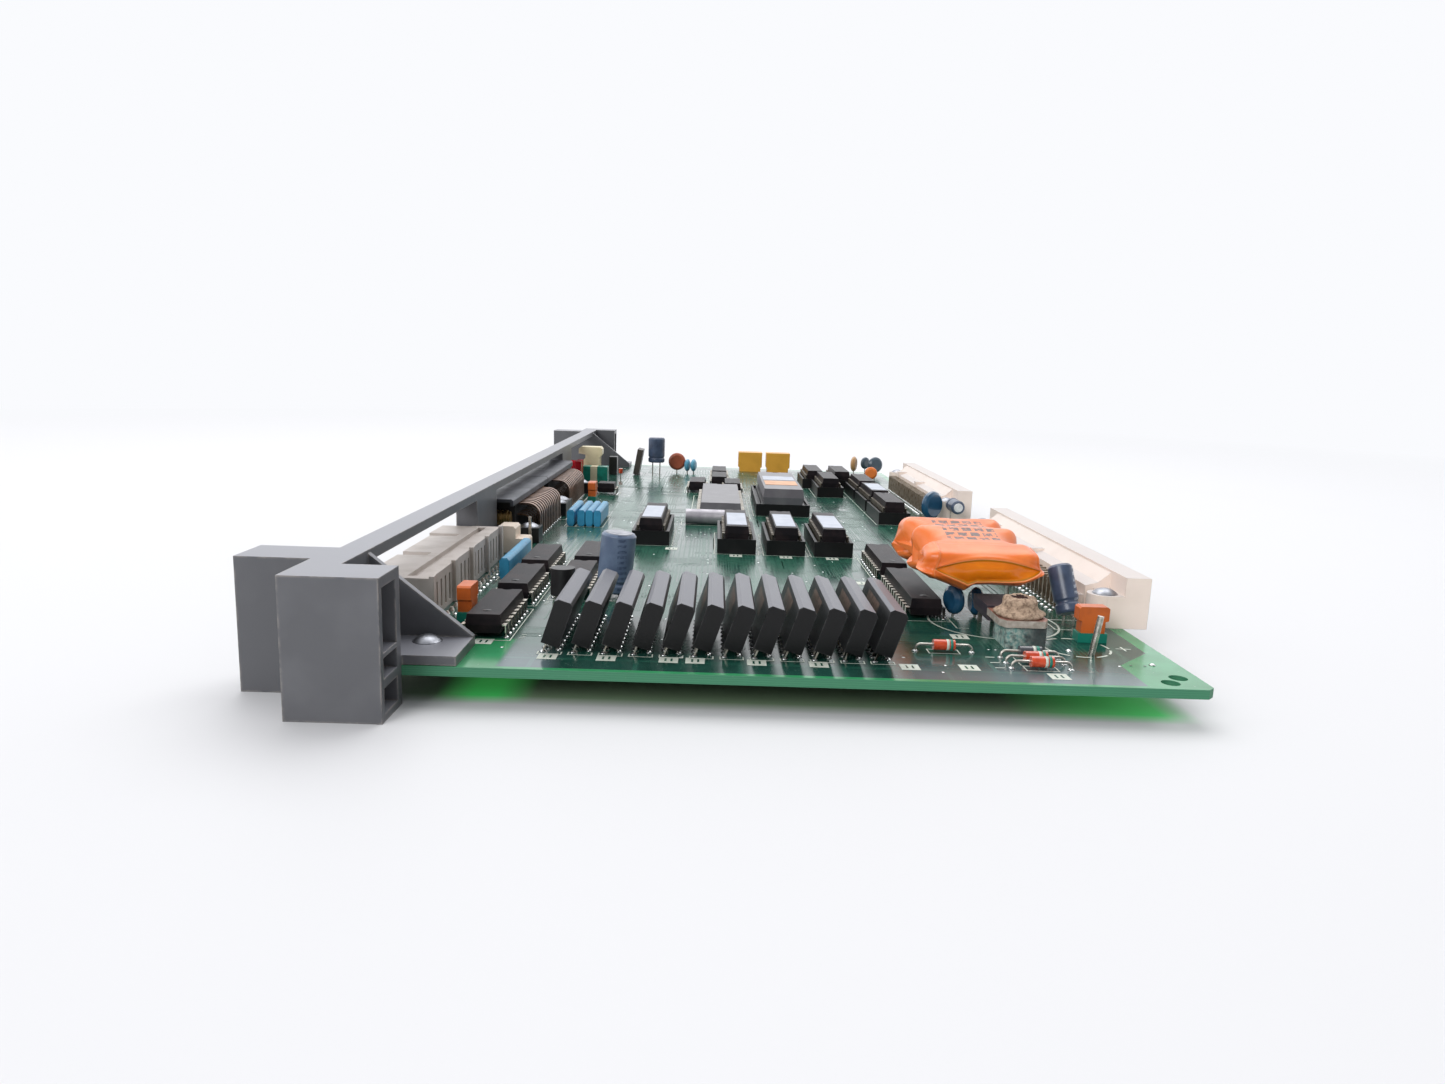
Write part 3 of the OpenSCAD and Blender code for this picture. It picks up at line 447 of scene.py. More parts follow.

# %% Edge, painted reflection and gloss of the board
REFLECTION_Y, REFLECTION_SHARE, EDGE_ROUGH = (3.0, 16.0), 0.32, 0.6
REFLECTION_LEFT_MM, REFLECTION_RIGHT_MM = 30.0, 92.0
normal = put(tree, "ShaderNodeNewGeometry").outputs["True Normal"]
flat = ramp(maths("ABSOLUTE", part_of(normal, 2)), 0.4, 0.6)
layers = put(tree, "ShaderNodeTexWave", {"Vector": place}, bands_direction="Z",
             Scale=1 / (LAYER_MM * MM), Distortion=1.5)
colour = blend(flat, blend(layers.outputs[1], "347556", "3f8160"), top)
# painted reflection: a pale bluish veil over the copper in both near corners, fading away from the
# near edge
fade = ramp(part_of(place, 1), (low_mm.y + REFLECTION_Y[0]) * MM, (low_mm.y + REFLECTION_Y[1]) * MM,
            REFLECTION_SHARE, 0.0)
reflection_sides = maths("MAXIMUM", window(place, 0, low_mm.x, low_mm.x + REFLECTION_LEFT_MM, 3.0),
             window(place, 0, low_mm.x + REFLECTION_RIGHT_MM, high_mm.x, 6.0))
painted_reflection = times(times(times(copper_at, fade), reflection_sides), flat)
colour = blend(painted_reflection, colour, "8793a2")
feed(blend(spread(place, 0.5, 0.72, 0.8, 2.0), colour, "8fae9d"))
gloss = ramp(spread(place, 12.0, 0.3, 0.7), 0.0, 1.0, 0.13, 0.24)
matt_edge = put(tree, "ShaderNodeMix", {0: flat, 3: gloss}, data_type="FLOAT")
matt_edge.inputs[2].default_value = EDGE_ROUGH
feed(matt_edge.outputs[0], "Roughness")
waves(place)

tree, place = start("masked_copper_track", Roughness=0.26, IOR=1.5)
feed(mottle(place, 3.0, 0.3, 0.7, "265746", "2e6251"))
waves(place)
print("border", BORDER_MM, "mm on a board of", [round(v, 1) for v in high_mm - low_mm])


# %% [markdown]
# ## Sleeves, paper, glass and crust
# An electrolytic can wears a shrink sleeve with a printed polarity stripe. The paper
# labels are bluish white, one of them peach. Corrosion and a dried crust sit round the
# power device. Each of these reads a place on the part, so it gets a recipe of its own.

# %% Sleeve recipe
DASH_MM, SLEEVE_ROUND_MM = 3.6, 0.3


def sleeve(name, body, shade, stripe, centre_mm, half_mm):
    """A glossy shrink sleeve with a dashed stripe where x is within half_mm of centre_mm."""
    tree, place = start(name, Roughness=0.3)
    side = window(place, 0, centre_mm - half_mm, centre_mm + half_mm, 0.05)
    marks = put(tree, "ShaderNodeTexWave", {"Vector": place}, bands_direction="Z",
                wave_profile="SIN", Scale=1 / (DASH_MM * MM))
    ink = times(side, ramp(marks.outputs[1], 0.45, 0.5))
    ink = times(ink, spread(place, 0.8, 0.36, 0.56))
    feed(blend(ink, mottle(place, 3.0, 0.35, 0.7, body, shade), stripe))
    bumpy(spread(place, 1.4, 0.3, 0.7), 0.2, 0.05, rounded(tree, SLEEVE_ROUND_MM))


# the stripe lies this far inside the can's plug side
for name, can, inside_mm, half_mm, tints in (
        ("slate_sleeve", "tall_capacitor", 2.6, 0.9, ("65768e", "54637c", "43526b")),
        ("navy_sleeve", "plug_capacitor", 1.2, 0.5, ("4a5870", "374257", "b4becb"))):
    sleeve(name, *tints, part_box(can)[1].x / MM - inside_mm, half_mm)

# %% Paper labels, selector band, glass diodes
tree, place = start("label_paper", Roughness=0.5)
wide_low, wide_high = (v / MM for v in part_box("wide_socketed_chip"))
PEACH_END_MM = 191.5
on_wide = field(place, (wide_low.x, wide_high.x), (wide_low.y, y_mm(PEACH_END_MM)))
plain = mottle(place, 4.0, 0.35, 0.75, "c0c5d0", "adb4c1")
peach = mottle(place, 4.0, 0.35, 0.75, "dcaa84", "c8936e")
feed(blend(on_wide, plain, peach))

tree, place = start("banded_selector", Roughness=0.32)
selector_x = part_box("teal_selector")[0].x / MM
BAND_FROM_MM, BAND_TO_MM = 3.0, 5.6
band = window(place, 0, selector_x + BAND_FROM_MM, selector_x + BAND_TO_MM)
feed(blend(band, mottle(place, 2.0, 0.3, 0.7, "158472", "0d6556"), "cbbfa2"))

tree, place = start("glass_diode", Roughness=0.1, Coat_Weight=0.4)
rear = field(place, (x_mm(109), x_mm(116)), (y_mm(13.0), y_mm(15.6)))
feed(blend(rear, mottle(place, 1.2, 0.35, 0.65, "d5532f", "b53a20"), "45474d"))

# %% Corroded block, tab, crust
tree, place = start("corroded_block", Roughness=0.5)
block_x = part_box("regulator_pad")[0].x / MM
side = ramp(part_of(place, 0), (block_x + 1.5) * MM, (block_x + 5.0) * MM, 1.0, 0.08)
bloom = times(side, spread(place, 1.3, 0.3, 0.55))
salts = mottle(place, 0.6, 0.4, 0.6, "6f9c98", "b6c3ba")
feed(blend(bloom, mottle(place, 2.0, 0.4, 0.7, "33383a", "4a4f50"), salts))

tree, place = start("tab_copper", Roughness=0.45, Metallic=0.3)
tinned = mottle(place, 1.0, 0.35, 0.65, "c4bcb2", "a3988c")
browned = mottle(place, 1.2, 0.35, 0.65, "96695a", "74493d")
feed(blend(facing(tree, 2, 0.5, 0.8), tinned, browned))

tree, place = start("dried_crust", Roughness=0.9)
feed(blend(spread(place, 0.7, 0.42, 0.72, 5.0), "c0a68f", "6a5443"))
bumpy(spread(place, 0.35, 0.2, 0.8, 5.0), 0.8, 0.3)

# %% Battery film: PVC shrink film, smooth and waxy, torn open over the glossy amber sleeve
pack_low, pack_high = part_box("battery_pack")
print_low, print_high = pack_low / MM, pack_high / MM
BAR_MM, BARS_X, BARS_NEAR_MM, BARS_FAR_MM = 6.0, (6.5, 17.0), 8.0, 7.0
tree, place = start("battery_film", Subsurface_Weight=0.05, Subsurface_Scale=0.001)
depth = put(tree, "ShaderNodeAttribute", attribute_name="tear").outputs["Fac"]
bare = ramp(depth, -0.04, 0.05)
orange = mottle(place, 7.0, 0.35, 0.7, "e36c24", "e97f3e")
orange = mottle(place, 1.0, 0.66, 0.8, orange, "cf6526")
# rows of plain dark bars on the top of the film
rows = put(tree, "ShaderNodeTexBrick", {"Vector": place}, Scale=1 / (BAR_MM * MM), Mortar_Size=0.055,
           Brick_Width=0.42, Row_Height=0.4, Color1=linear("ffffff"), Color2=linear("ffffff"),
           Mortar=linear("000000"))
printed = field(place, (print_low.x + BARS_X[0], print_low.x + BARS_X[1]),
                (print_low.y + BARS_NEAR_MM, print_high.y - BARS_FAR_MM))
printed = times(printed, window(place, 2, print_high.z - 2.0, print_high.z + 3.0))
printed = times(printed, rows.outputs["Color"])
orange = blend(times(printed, spread(place, 0.9, 0.36, 0.5)), orange, "4a2a1c")
# the sleeve darkens toward the tear's rim, partly grime and partly painted shade under the film's
# edge, and the film's lip is pale
amber = mottle(place, 5.0, 0.35, 0.7, "e8800d", "d96f09")
amber = blend(ramp(depth, 0.02, 0.45, 1.0, 0.0), amber, "a8761f")
film = blend(ramp(depth, -0.3, -0.05), orange, "f09a62")
feed(blend(bare, film, amber))
feed(ramp(bare, 0.0, 1.0, 0.3, 0.14), "Roughness")
bumpy(spread(place, 3.5, 0.2, 0.8, 2.0), 0.25, 0.2)

tree, place = start("rusty_hollow", Roughness=0.95)
feed(mottle(place, 0.5, 0.35, 0.65, "3c2018", "1c100d"))
print("finishes in all", len(FINISHES))

# %% [markdown]
# ## Dress the solids
# Each solid keeps its mesh and only takes a finish. The table pairs them.

# %% Assign finishes to the solids
DRESS = {
    "green_mask_laminate": "circuit_board", "panel_abs": "front_panel",
    "rivet_aluminium": "panel_rivets plug_rivets port_rivets",
    "plug_polyester": "near_plug_housing far_plug_housing",
    "plug_bronze": "near_plug_contacts far_plug_contacts",
    "header_polyester": "ribbon_header",
    "lead_tin": "memory_leads logic_leads wide_leads",
    "tin_plate": "ribbon_header_tails component_wires regulator_leads test_pin post_pin",
    "socket_contact": "socketed_leads", "cream_nylon": "header_end_block",
    "switch_nylon": "lamp_switch", "hood_zinc": "near_port_shell far_port_shell",
    "insert_pbt": "port_inserts", "ear_pbt": "port_ears transistor",
    "socket_pbt": "chip_sockets wide_socket", "corroded_block": "regulator_pad",
    "relay_pbt": "small_relay", "screw_brass": "port_jackscrews",
    "near_leads_bronze": "near_port_leads", "far_leads_bronze": "far_port_leads",
    "teal_pbt": "jumper_bases", "banded_selector": "teal_selector",
    "jumper_nylon": "jumper_plugs", "lamp_lens": "lamp_pair",
    "memory_epoxy": "memory_chips", "chip_epoxy": "logic_chips socketed_chips",
    "power_epoxy": "regulator_body", "wide_epoxy": "wide_chip wide_socketed_chip",
    "label_paper": "chip_labels", "network_epoxy": "resistor_networks",
    "dark_network_epoxy": "far_network", "slate_sleeve": "tall_capacitor",
    "navy_sleeve": "plug_capacitor end_capacitor far_capacitor",
    "film_box": "film_capacitors", "brown_dip": "ceramic_disc", "blue_dip": "blue_discs",
    "grey_dip": "drop_capacitors", "light_blue_dip": "small_capacitors",
    "crystal_steel": "crystal_can", "battery_film": "battery_pack",
    "tab_copper": "regulator_tab", "dried_crust": "screw_lump", "glass_diode": "diodes",
}
for finish, members in DRESS.items():
    for name in members.split():
        nodes[name].data.materials.clear()
        nodes[name].data.materials.append(FINISHES[finish])
print("dressed", sum(len(m.split()) for m in DRESS.values()), "of", len(nodes))


# %% [markdown]
# ## Where the leads meet the board
# The same rows that place the packages give every solder joint: one list of points serves
# the top face and the underside, in mm from the board's corner.

# %% Lead places
PITCH = 2.54
NARROW_HALF, WIDE_HALF = 3.81, 7.62
# x and y of the middle, leads on each side
LOGIC = [(17.3, 26.2, 8), (17.3, 50.6, 8), (17.3, 74, 8), (28.2, 56, 8), (28.2, 80, 8),
         (99.5, 53.5, 12), (99.5, 86, 10), (50.4, 229, 7), (59, 250, 8), (59, 273, 8),
         (64, 228, 7), (17, 210, 3)]
SOCKETS = [(40.1, 124.5, 12), (63.2, 115.6, 12), (76.1, 115.6, 12), (88.6, 115.6, 12),
           (101.7, 232.6, 10), (98.3, 259.2, 10), (115, 170.2, 10), (115, 199.2, 10),
           (115, 228.2, 10), (109.4, 258.8, 10)]
WIDE = [(59.2, 186, 20), (79.9, 193.4, 20)]
# x, start and length along the board
NETWORKS = [(11, 62, 25.4)] + [(x, 135.5, 20.3) for x in (14.6, 17.7, 20.1, 22.5)]
DIODES = [(98, 16.8), (112.5, 8.3), (112.4, 11.2), (112.4, 14.3)]
MEMORY = [30.1 + i * 2 * PITCH for i in range(12)]
PLUGS = [83.9, 83.9 + 133.35]
HEADER_X, HEADER_Y, HEADER_STEP = 8.4, 31.6, 47.6 / 15
LOOSE = [(133.1, 12.5), (121.2, 19.6), (124.5, 17.6), (8.55, 104.55), (36, 46.4), (36, 53.4)]


def two_rows(places, half):
    return [(x + s * half, y + (i - (n - 1) / 2) * PITCH)
            for x, y, n in places for i in range(n) for s in (-1, 1)]


pads = two_rows(LOGIC, NARROW_HALF) + two_rows(SOCKETS, NARROW_HALF) + two_rows(WIDE, WIDE_HALF)
pads += [(x + (-1.27 if j % 2 == 0 else 1.27), 9.65 + j * 1.27) for x in MEMORY for j in range(20)]
pads += [(132.8 - t, c + (i - 15.5) * PITCH)
         for c in PLUGS for i in range(2, 30) for t in (1.45, 2.85, 4.6)]
pads += [(HEADER_X, HEADER_Y + i * HEADER_STEP) for i in range(16)]
pads += [(x, c + (i - 6) * PORT_PITCH)
         for c in PORT_MIDDLES.values() for i in range(13) for x in (8.95, 6.35)]
pads += [(x, y + 1.2 + i * PITCH) for x, y, run in NETWORKS for i in range(int(run / PITCH))]
pads += [(x + s * 5.0, y) for x, y in DIODES for s in (-1, 1)] + LOOSE
print("solder joints", len(pads))


# %% [markdown]
# ## Solder joints by Geometry Nodes
# A joint is a small cone with a blunt top. The tree puts one on each point; the radius,
# top and height are its named inputs. The result is realised and kept as a plain mesh.

# %% Joint tree
def joint_tree(name, sides):
    tree = bpy.data.node_groups.new(name, "GeometryNodeTree")
    tree.interface.new_socket("Geometry", in_out="INPUT", socket_type="NodeSocketGeometry")
    for label in ("Radius", "Top Radius", "Height"):
        tree.interface.new_socket(label, in_out="INPUT", socket_type="NodeSocketFloat")
    tree.interface.new_socket("Finish", in_out="INPUT", socket_type="NodeSocketMaterial")
    tree.interface.new_socket("Geometry", in_out="OUTPUT", socket_type="NodeSocketGeometry")
    given = put(tree, "NodeGroupInput").outputs
    cone = put(tree, "GeometryNodeMeshCone", {"Radius Top": given["Top Radius"],
                                              "Radius Bottom": given["Radius"],
                                              "Depth": given["Height"]},
               Vertices=sides, Side_Segments=2)
    place = put(tree, "GeometryNodeInstanceOnPoints",
                {"Points": given["Geometry"], "Instance": cone.outputs["Mesh"]})
    real = put(tree, "GeometryNodeRealizeInstances", {"Geometry": place.outputs["Instances"]})
    smooth = put(tree, "GeometryNodeSetShadeSmooth", {"Geometry": real.outputs["Geometry"]})
    painted = put(tree, "GeometryNodeSetMaterial",
                  {"Geometry": smooth.outputs["Geometry"], "Material": given["Finish"]})
    put(tree, "NodeGroupOutput", {"Geometry": painted.outputs["Geometry"]})
    return tree


# %% Keeping pieces
def keep(piece):
    """A finished piece rides on the one body."""
    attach(piece, "root")
    return piece


def link(name, mesh, *finishes):
    """Links a mesh as an object at the origin, with its finishes."""
    for finish in finishes:
        mesh.materials.append(FINISHES[finish])
    piece = bpy.data.objects.new(name, mesh)
    bpy.context.scene.collection.objects.link(piece)
    return piece


def join_rings(shape, rings):
    """Smooth quads between each ring of points and the next."""
    for lower, upper in zip(rings, rings[1:]):
        for k in range(len(lower)):
            nxt = (k + 1) % len(lower)
            shape.faces.new([lower[k], lower[nxt], upper[nxt], upper[k]]).smooth = True


def mesh_of(name, shape):
    """The mesh of a finished bmesh, which is then freed."""
    mesh = bpy.data.meshes.new(name)
    shape.to_mesh(mesh)
    shape.free()
    return mesh


def on_points(name, points, tree, finish, radius_mm, top_mm, height_mm):
    """Runs a joint tree on bare points and keeps the realised result as a plain mesh."""
    mesh = bpy.data.meshes.new(name)
    mesh.from_pydata([tuple(p) for p in points], [], [])
    piece = link(name, mesh)
    grow = piece.modifiers.new("joints", "NODES")
    grow.node_group = tree
    given = {"Radius": radius_mm * MM, "Top Radius": top_mm * MM, "Height": height_mm * MM,
             "Finish": FINISHES[finish]}
    for item in tree.interface.items_tree:
        if item.in_out == "INPUT" and item.name in given:
            grow[item.identifier] = given[item.name]
    graph = bpy.context.evaluated_depsgraph_get()
    plain = bpy.data.meshes.new_from_object(piece.evaluated_get(graph))
    piece.modifiers.clear()
    piece.data = plain
    if not plain.materials:
        plain.materials.append(FINISHES[finish])
    print(name, len(plain.polygons), "faces")
    return keep(piece)


# %% Solder on both faces
BOARD_T = high_mm.z - low_mm.z
joint = joint_tree("solder_joint", 8)
on_points("top_solder", [on_board(x, y) for x, y in pads], joint, "solder_tin",
          0.62, 0.26, 0.32)
# the underside's joints are grown upright in a mirror image, then turned over
under = on_points("under_solder", [on_board(x, -y, BOARD_T) for x, y in pads], joint, "solder_tin",
                  0.85, 0.22, 0.9)
under.data.transform(Matrix.Translation(corner) @ Matrix.Diagonal((1, -1, -1, 1))
                     @ Matrix.Translation(-corner))
under.data.update()


# %% [markdown]
# ## Tracks
# Copper tracks run in bundles between the packages, mostly along the card, with 45 degree
# jogs. They are flat ribbons a hair above the mask. The routes are drawn from a fixed
# seed, so that they are the same each time.

# %% Ribbon helpers
STACK, STEP_MM = 60, 0.0004
TRACK_MM, TRACK_LIFT = 0.3, 0.012


def ribbons(name, runs, height, finish, down=False):
    """Flat strips along polylines; a run is (width_mm, [(x, y), ...])."""
    verts, faces = [], []
    for width, points in runs:
        for (x0, y0), (x1, y1) in zip(points, points[1:]):
            step = Vector((x1 - x0, y1 - y0))
            if step.length < 1e-6:
                continue
            ahead = step.normalized() * width / 2
            side = Vector((-ahead.y, ahead.x))
            ends = (Vector((x0, y0)) - ahead, Vector((x1, y1)) + ahead)
            ring = [ends[0] - side, ends[1] - side, ends[1] + side, ends[0] + side]
            faces.append([len(verts) + k for k in ((3, 2, 1, 0) if down else (0, 1, 2, 3))])
            # strips that cross never share a plane
            level = height + len(faces) % STACK * STEP_MM * (-1 if down else 1)
            verts += [on_board(p.x, p.y, level) for p in ring]
    mesh = bpy.data.meshes.new(name)
    mesh.from_pydata([tuple(v) for v in verts], [], faces)
    print(name, len(faces), "strips")
    return keep(link(name, mesh, finish))


def bundles(seed, count, lengthwise):
    """Parallel tracks with one jog each, inside the board's inner field."""
    draw = random.Random(seed)
    runs = []
    for _ in range(count):
        lanes = draw.randint(2, 8)
        gap = draw.choice((0.64, 0.85, 1.27))
        x, y = draw.uniform(12, 122), draw.uniform(12, 270)
        run, jog, tail = draw.uniform(10, 42), draw.uniform(-6, 6), draw.uniform(6, 36)
        for lane in range(lanes):
            shift = lane * gap
            if lengthwise:
                points = [(x + shift, y), (x + shift, y + run),
                          (x + shift + jog, y + run + abs(jog)),
                          (x + shift + jog, y + run + abs(jog) + tail)]
            else:
                points = [(x, y + shift), (x + run, y + shift),
                          (x + run + abs(jog), y + shift + jog),
                          (x + run + abs(jog) + tail * 0.5, y + shift + jog)]
            if all(6 < px < 131 and 6 < py < 312 for px, py in points):
                runs.append((TRACK_MM, points))
    return runs


ribbons("top_tracks", bundles(11, 260, True) + bundles(12, 60, False), TRACK_LIFT,
        "masked_copper_track")
ribbons("under_tracks", bundles(21, 90, False) + bundles(22, 160, True), -BOARD_T - TRACK_LIFT,
        "masked_copper_track", True)


# %% [markdown]
# ## Legend print
# White ink outlines each package, brackets the foot of each memory chip, and draws a
# circle round the power device and a dashed one round an empty can's place. The small
# index squares carry two plain strokes.

# %% Legend shapes
def frame_of(x, y, w, h):
    return [(x + a * w / 2, y + b * h / 2) for a, b in ((-1, -1), (1, -1), (1, 1), (-1, 1), (-1, -1))]


def arc(x, y, radius, first, last, steps):
    turns = [math.radians(first + (last - first) * i / steps) for i in range(steps + 1)]
    return [(x + radius * math.cos(a), y + radius * math.sin(a)) for a in turns]


INK, SQUARE_MM = 0.22, 3.1
INK_LIFT, MARK_LIFT = 0.04, 0.068
legend = [(INK, frame_of(x, y, 9.6, n * PITCH + 1.6)) for x, y, n in LOGIC]
legend += [(INK, frame_of(x, y, 11.6, n * PITCH + 1.6)) for x, y, n in SOCKETS]
legend += [(INK, frame_of(x, y, 19.4, n * PITCH + 2.4)) for x, y, n in WIDE]
legend += [(INK, [(x - 1.95, 9.6), (x - 1.95, 8.2), (x + 1.95, 8.2), (x + 1.95, 9.6)])
           for x in MEMORY]
legend += [(INK, frame_of(x, y + run / 2, 3.4, run + 1.4)) for x, y, run in NETWORKS]
legend += [(INK, frame_of(x, y, 5.4, 2.4)) for x, y in DIODES]
# round the power device, round an empty can and its sign, then odd lines and frames
legend += [(0.42, arc(112.8, 38.5, 12.6, 150, 405, 44))]
legend += [(0.42, arc(123.4, 21.9, 5.9, a, a + 22, 5)) for a in range(0, 360, 36)]
legend += [(0.35, [(130.8, 21.9), (133.2, 21.9)]), (0.35, [(132.0, 20.7), (132.0, 23.1)])]
legend += [(0.3, line) for line in (
    [(106.6, 33.0), (104.4, 33.0), (104.4, 44.0)], [(13.2, 33), (15.0, 33), (15.0, 37)],
    frame_of(127.7, 38, 7.6, 7.6), arc(36.4, 50, 4.4, 0, 360, 24),
    frame_of(54.4, 147, 14.6, 6.0), frame_of(10.2, 177, 2.4, 60))]

# %% Index squares and ticks
SQUARES = [(103.4, 26.9), (90.2, 7.2), (100.3, 7.9), (114.2, 4.5), (30.1, 7.0), (17.8, 14.4),
           (39.8, 7.0), (50.1, 7.0), (54.5, 7.0), (64.7, 7.0), (75.0, 7.0), (76, 98), (88, 98),
           (63, 98), (46, 105), (92, 70)]
legend += [(SQUARE_MM, [(x - 0.05, y), (x + 0.05, y)]) for x, y in SQUARES]
legend += [(0.3, [(104.9 + k * 0.8, y), (105.4 + k * 0.8, y)])
           for y in (8.3, 11.2, 14.3) for k in (0, 1)]
ticks = random.Random(5)
for x, y, n in LOGIC + SOCKETS:
    tick_x, tick_y = x + 6.2, y - n * PITCH / 2 + 1.0
    for k in range(3):
        stroke = ticks.uniform(0.5, 0.8)
        legend.append((0.2, [(tick_x, tick_y + k * 1.1), (tick_x + stroke, tick_y + k * 1.1)]))
ribbons("legend_print", legend, INK_LIFT, "white_print")
marks = [(0.34, [(x + s, y - 0.6), (x + s, y + 0.6)]) for x, y in SQUARES for s in (-0.5, 0.5)]
# and two dark dots in the clear corner
marks += [(0.4, [(x - 0.05, 11.8), (x + 0.05, 11.8)]) for x in (129.1, 131.5)]
ribbons("index_marks", marks, MARK_LIFT, "masked_copper_track")

# %% [markdown]
# ## Moulding marks and vias
# A chip carries a round ejector dimple near one end. Vias are tiny tinned rings beside
# the tracks. Both are the joint tree again, with flatter sizes.

# %% Dimples and vias
CHIP_TOP, SOCKET_TOP = 4.3, 7.3
VIA_COUNT, VIA_GRID = 420, 1.27
dimples = [on_board(x, y - n * PITCH / 2 + 3.2, CHIP_TOP) for x, y, n in LOGIC]
dimples += [on_board(x, y + n * PITCH / 2 - 3.4, SOCKET_TOP) for x, y, n in SOCKETS[4:]]
on_points("ejector_dimples", dimples, joint_tree("ejector_dimple", 16), "relay_pbt",
          0.8, 0.72, 0.03)
pick = random.Random(31)
via_places = []
for _ in range(VIA_COUNT):
    x, y = pick.uniform(10, 131), pick.uniform(5, 312)
    via_places.append(on_board(round(x / VIA_GRID) * VIA_GRID, round(y / VIA_GRID) * VIA_GRID))
on_points("vias", via_places, joint, "solder_tin", 0.34, 0.2, 0.04)


# %% [markdown]
# ## Battery in shrink film
# Three cells lie side by side in one skin of film. The film bridges the valleys between
# the cells, pulls in over their ends and has torn open along the near side, where the
# amber sleeve of the cell shows. A grid round the pack, displaced by rule, gives all of it.

# %% Battery sizes
# the torn eye: its middle and half length along the pack, then degrees up, down and tilt
EYE_MID, EYE_HALF, EYE_UP, EYE_DOWN, EYE_TILT = 0.545, 0.42, 29.0, 42.0, 4.0
FILM_MM = 3.0
SHORT_MM, TOP_SWELL, FOOT_SQUASH, NEAR_DROP = 1.6, 1.1, 0.76, 0.36
# the near lobe's foot: how far the film hangs at places along it, gathered to a point near 0.38
FOOT = [(0.0, 0.22), (0.36, 0.84), (0.385, 0.9), (0.46, 0.66), (0.6, 0.62), (0.84, 0.66), (1.0, 0.2)]
END_FOOT = 0.2
# the film rolls in over the ends, and its pull is felt END_MM from them
ROLL_MM, INSET_MM, END_MM = 2.6, 2.4, 7.5
VALLEY_MM, END_VALLEY_MM = 0.55, 3.0
WRINKLE_MM, FOLD_NEAR_MM, FOLD_FAR_MM, FOLD_END_MM = 0.16, 0.6, 0.32, 0.6
WAIST_MM, HEEL_MM = 1.0, 0.6
SINK_MM, LIP_MM = 0.4, 0.28
BULGE_MM, TUCK_MM, DRAW_MM = 0.6, 0.9, 1.8
RINGS, AROUND = 108, 300
CELL_R = (pack_high.z - pack_low.z) / 2
CELL_STEP = (pack_high.y - pack_low.y - 2 * CELL_R) / 2
pack_mid = (pack_low + pack_high) / 2
span_x = pack_high.x - pack_low.x - SHORT_MM * MM


# %% Battery rules
def ease(t):
    """0 below 0, 1 above 1 and a smooth step between."""
    t = max(0.0, min(1.0, t))
    return t * t * (3 - 2 * t)


def hump(value, centre, width):
    """A smooth bump of height 1 at centre that is gone one width away."""
    return ease(1 - abs(value - centre) / width)


def hang(along):
    """The foot's share at a place along the near lobe, straight from one entry to the next."""
    for (a, first), (b, last) in zip(FOOT, FOOT[1:]):
        if along <= b:
            return first + (last - first) * (along - a) / (b - a)
    return FOOT[-1][1]


def outline(share, end):
    """A point round the pack, and whether it is on the near lobe; end is 1 at an end."""
    straight, arc_len = 2 * CELL_STEP, math.pi * CELL_R
    s = share * (2 * straight + 2 * arc_len)
    deep = (VALLEY_MM + END_VALLEY_MM * end ** 2) * MM

    def dip(run):
        return deep * (0.5 - 0.5 * math.cos(2 * math.pi * run / CELL_STEP))

    if s < arc_len:
        a = -math.pi / 2 - s / CELL_R
        return -CELL_STEP + CELL_R * math.cos(a), CELL_R * math.sin(a), True
    s -= arc_len
    if s < straight:
        return -CELL_STEP + s, CELL_R - dip(s), False
    s -= straight
    if s < arc_len:
        a = math.pi / 2 - s / CELL_R
        return CELL_STEP + CELL_R * math.cos(a), CELL_R * math.sin(a), False
    s -= arc_len
    return CELL_STEP - s, -CELL_R + dip(s), False


def tear_depth(along, lift):
    """How far a place on the near lobe lies inside the torn eye, in mm; negative is film."""
    across = (along - EYE_MID) / EYE_HALF
    side_mm = (1 - abs(across)) * EYE_HALF * span_x / MM
    if side_mm <= 0:
        return max(-FILM_MM, side_mm)
    swell = 1 - across * across
    degree_mm = CELL_R / MM * math.pi / 180
    above = EYE_TILT + EYE_UP * swell ** 0.85 - lift
    below = lift - EYE_TILT + EYE_DOWN * swell ** 0.65
    return max(-FILM_MM, min(above, below) * degree_mm)


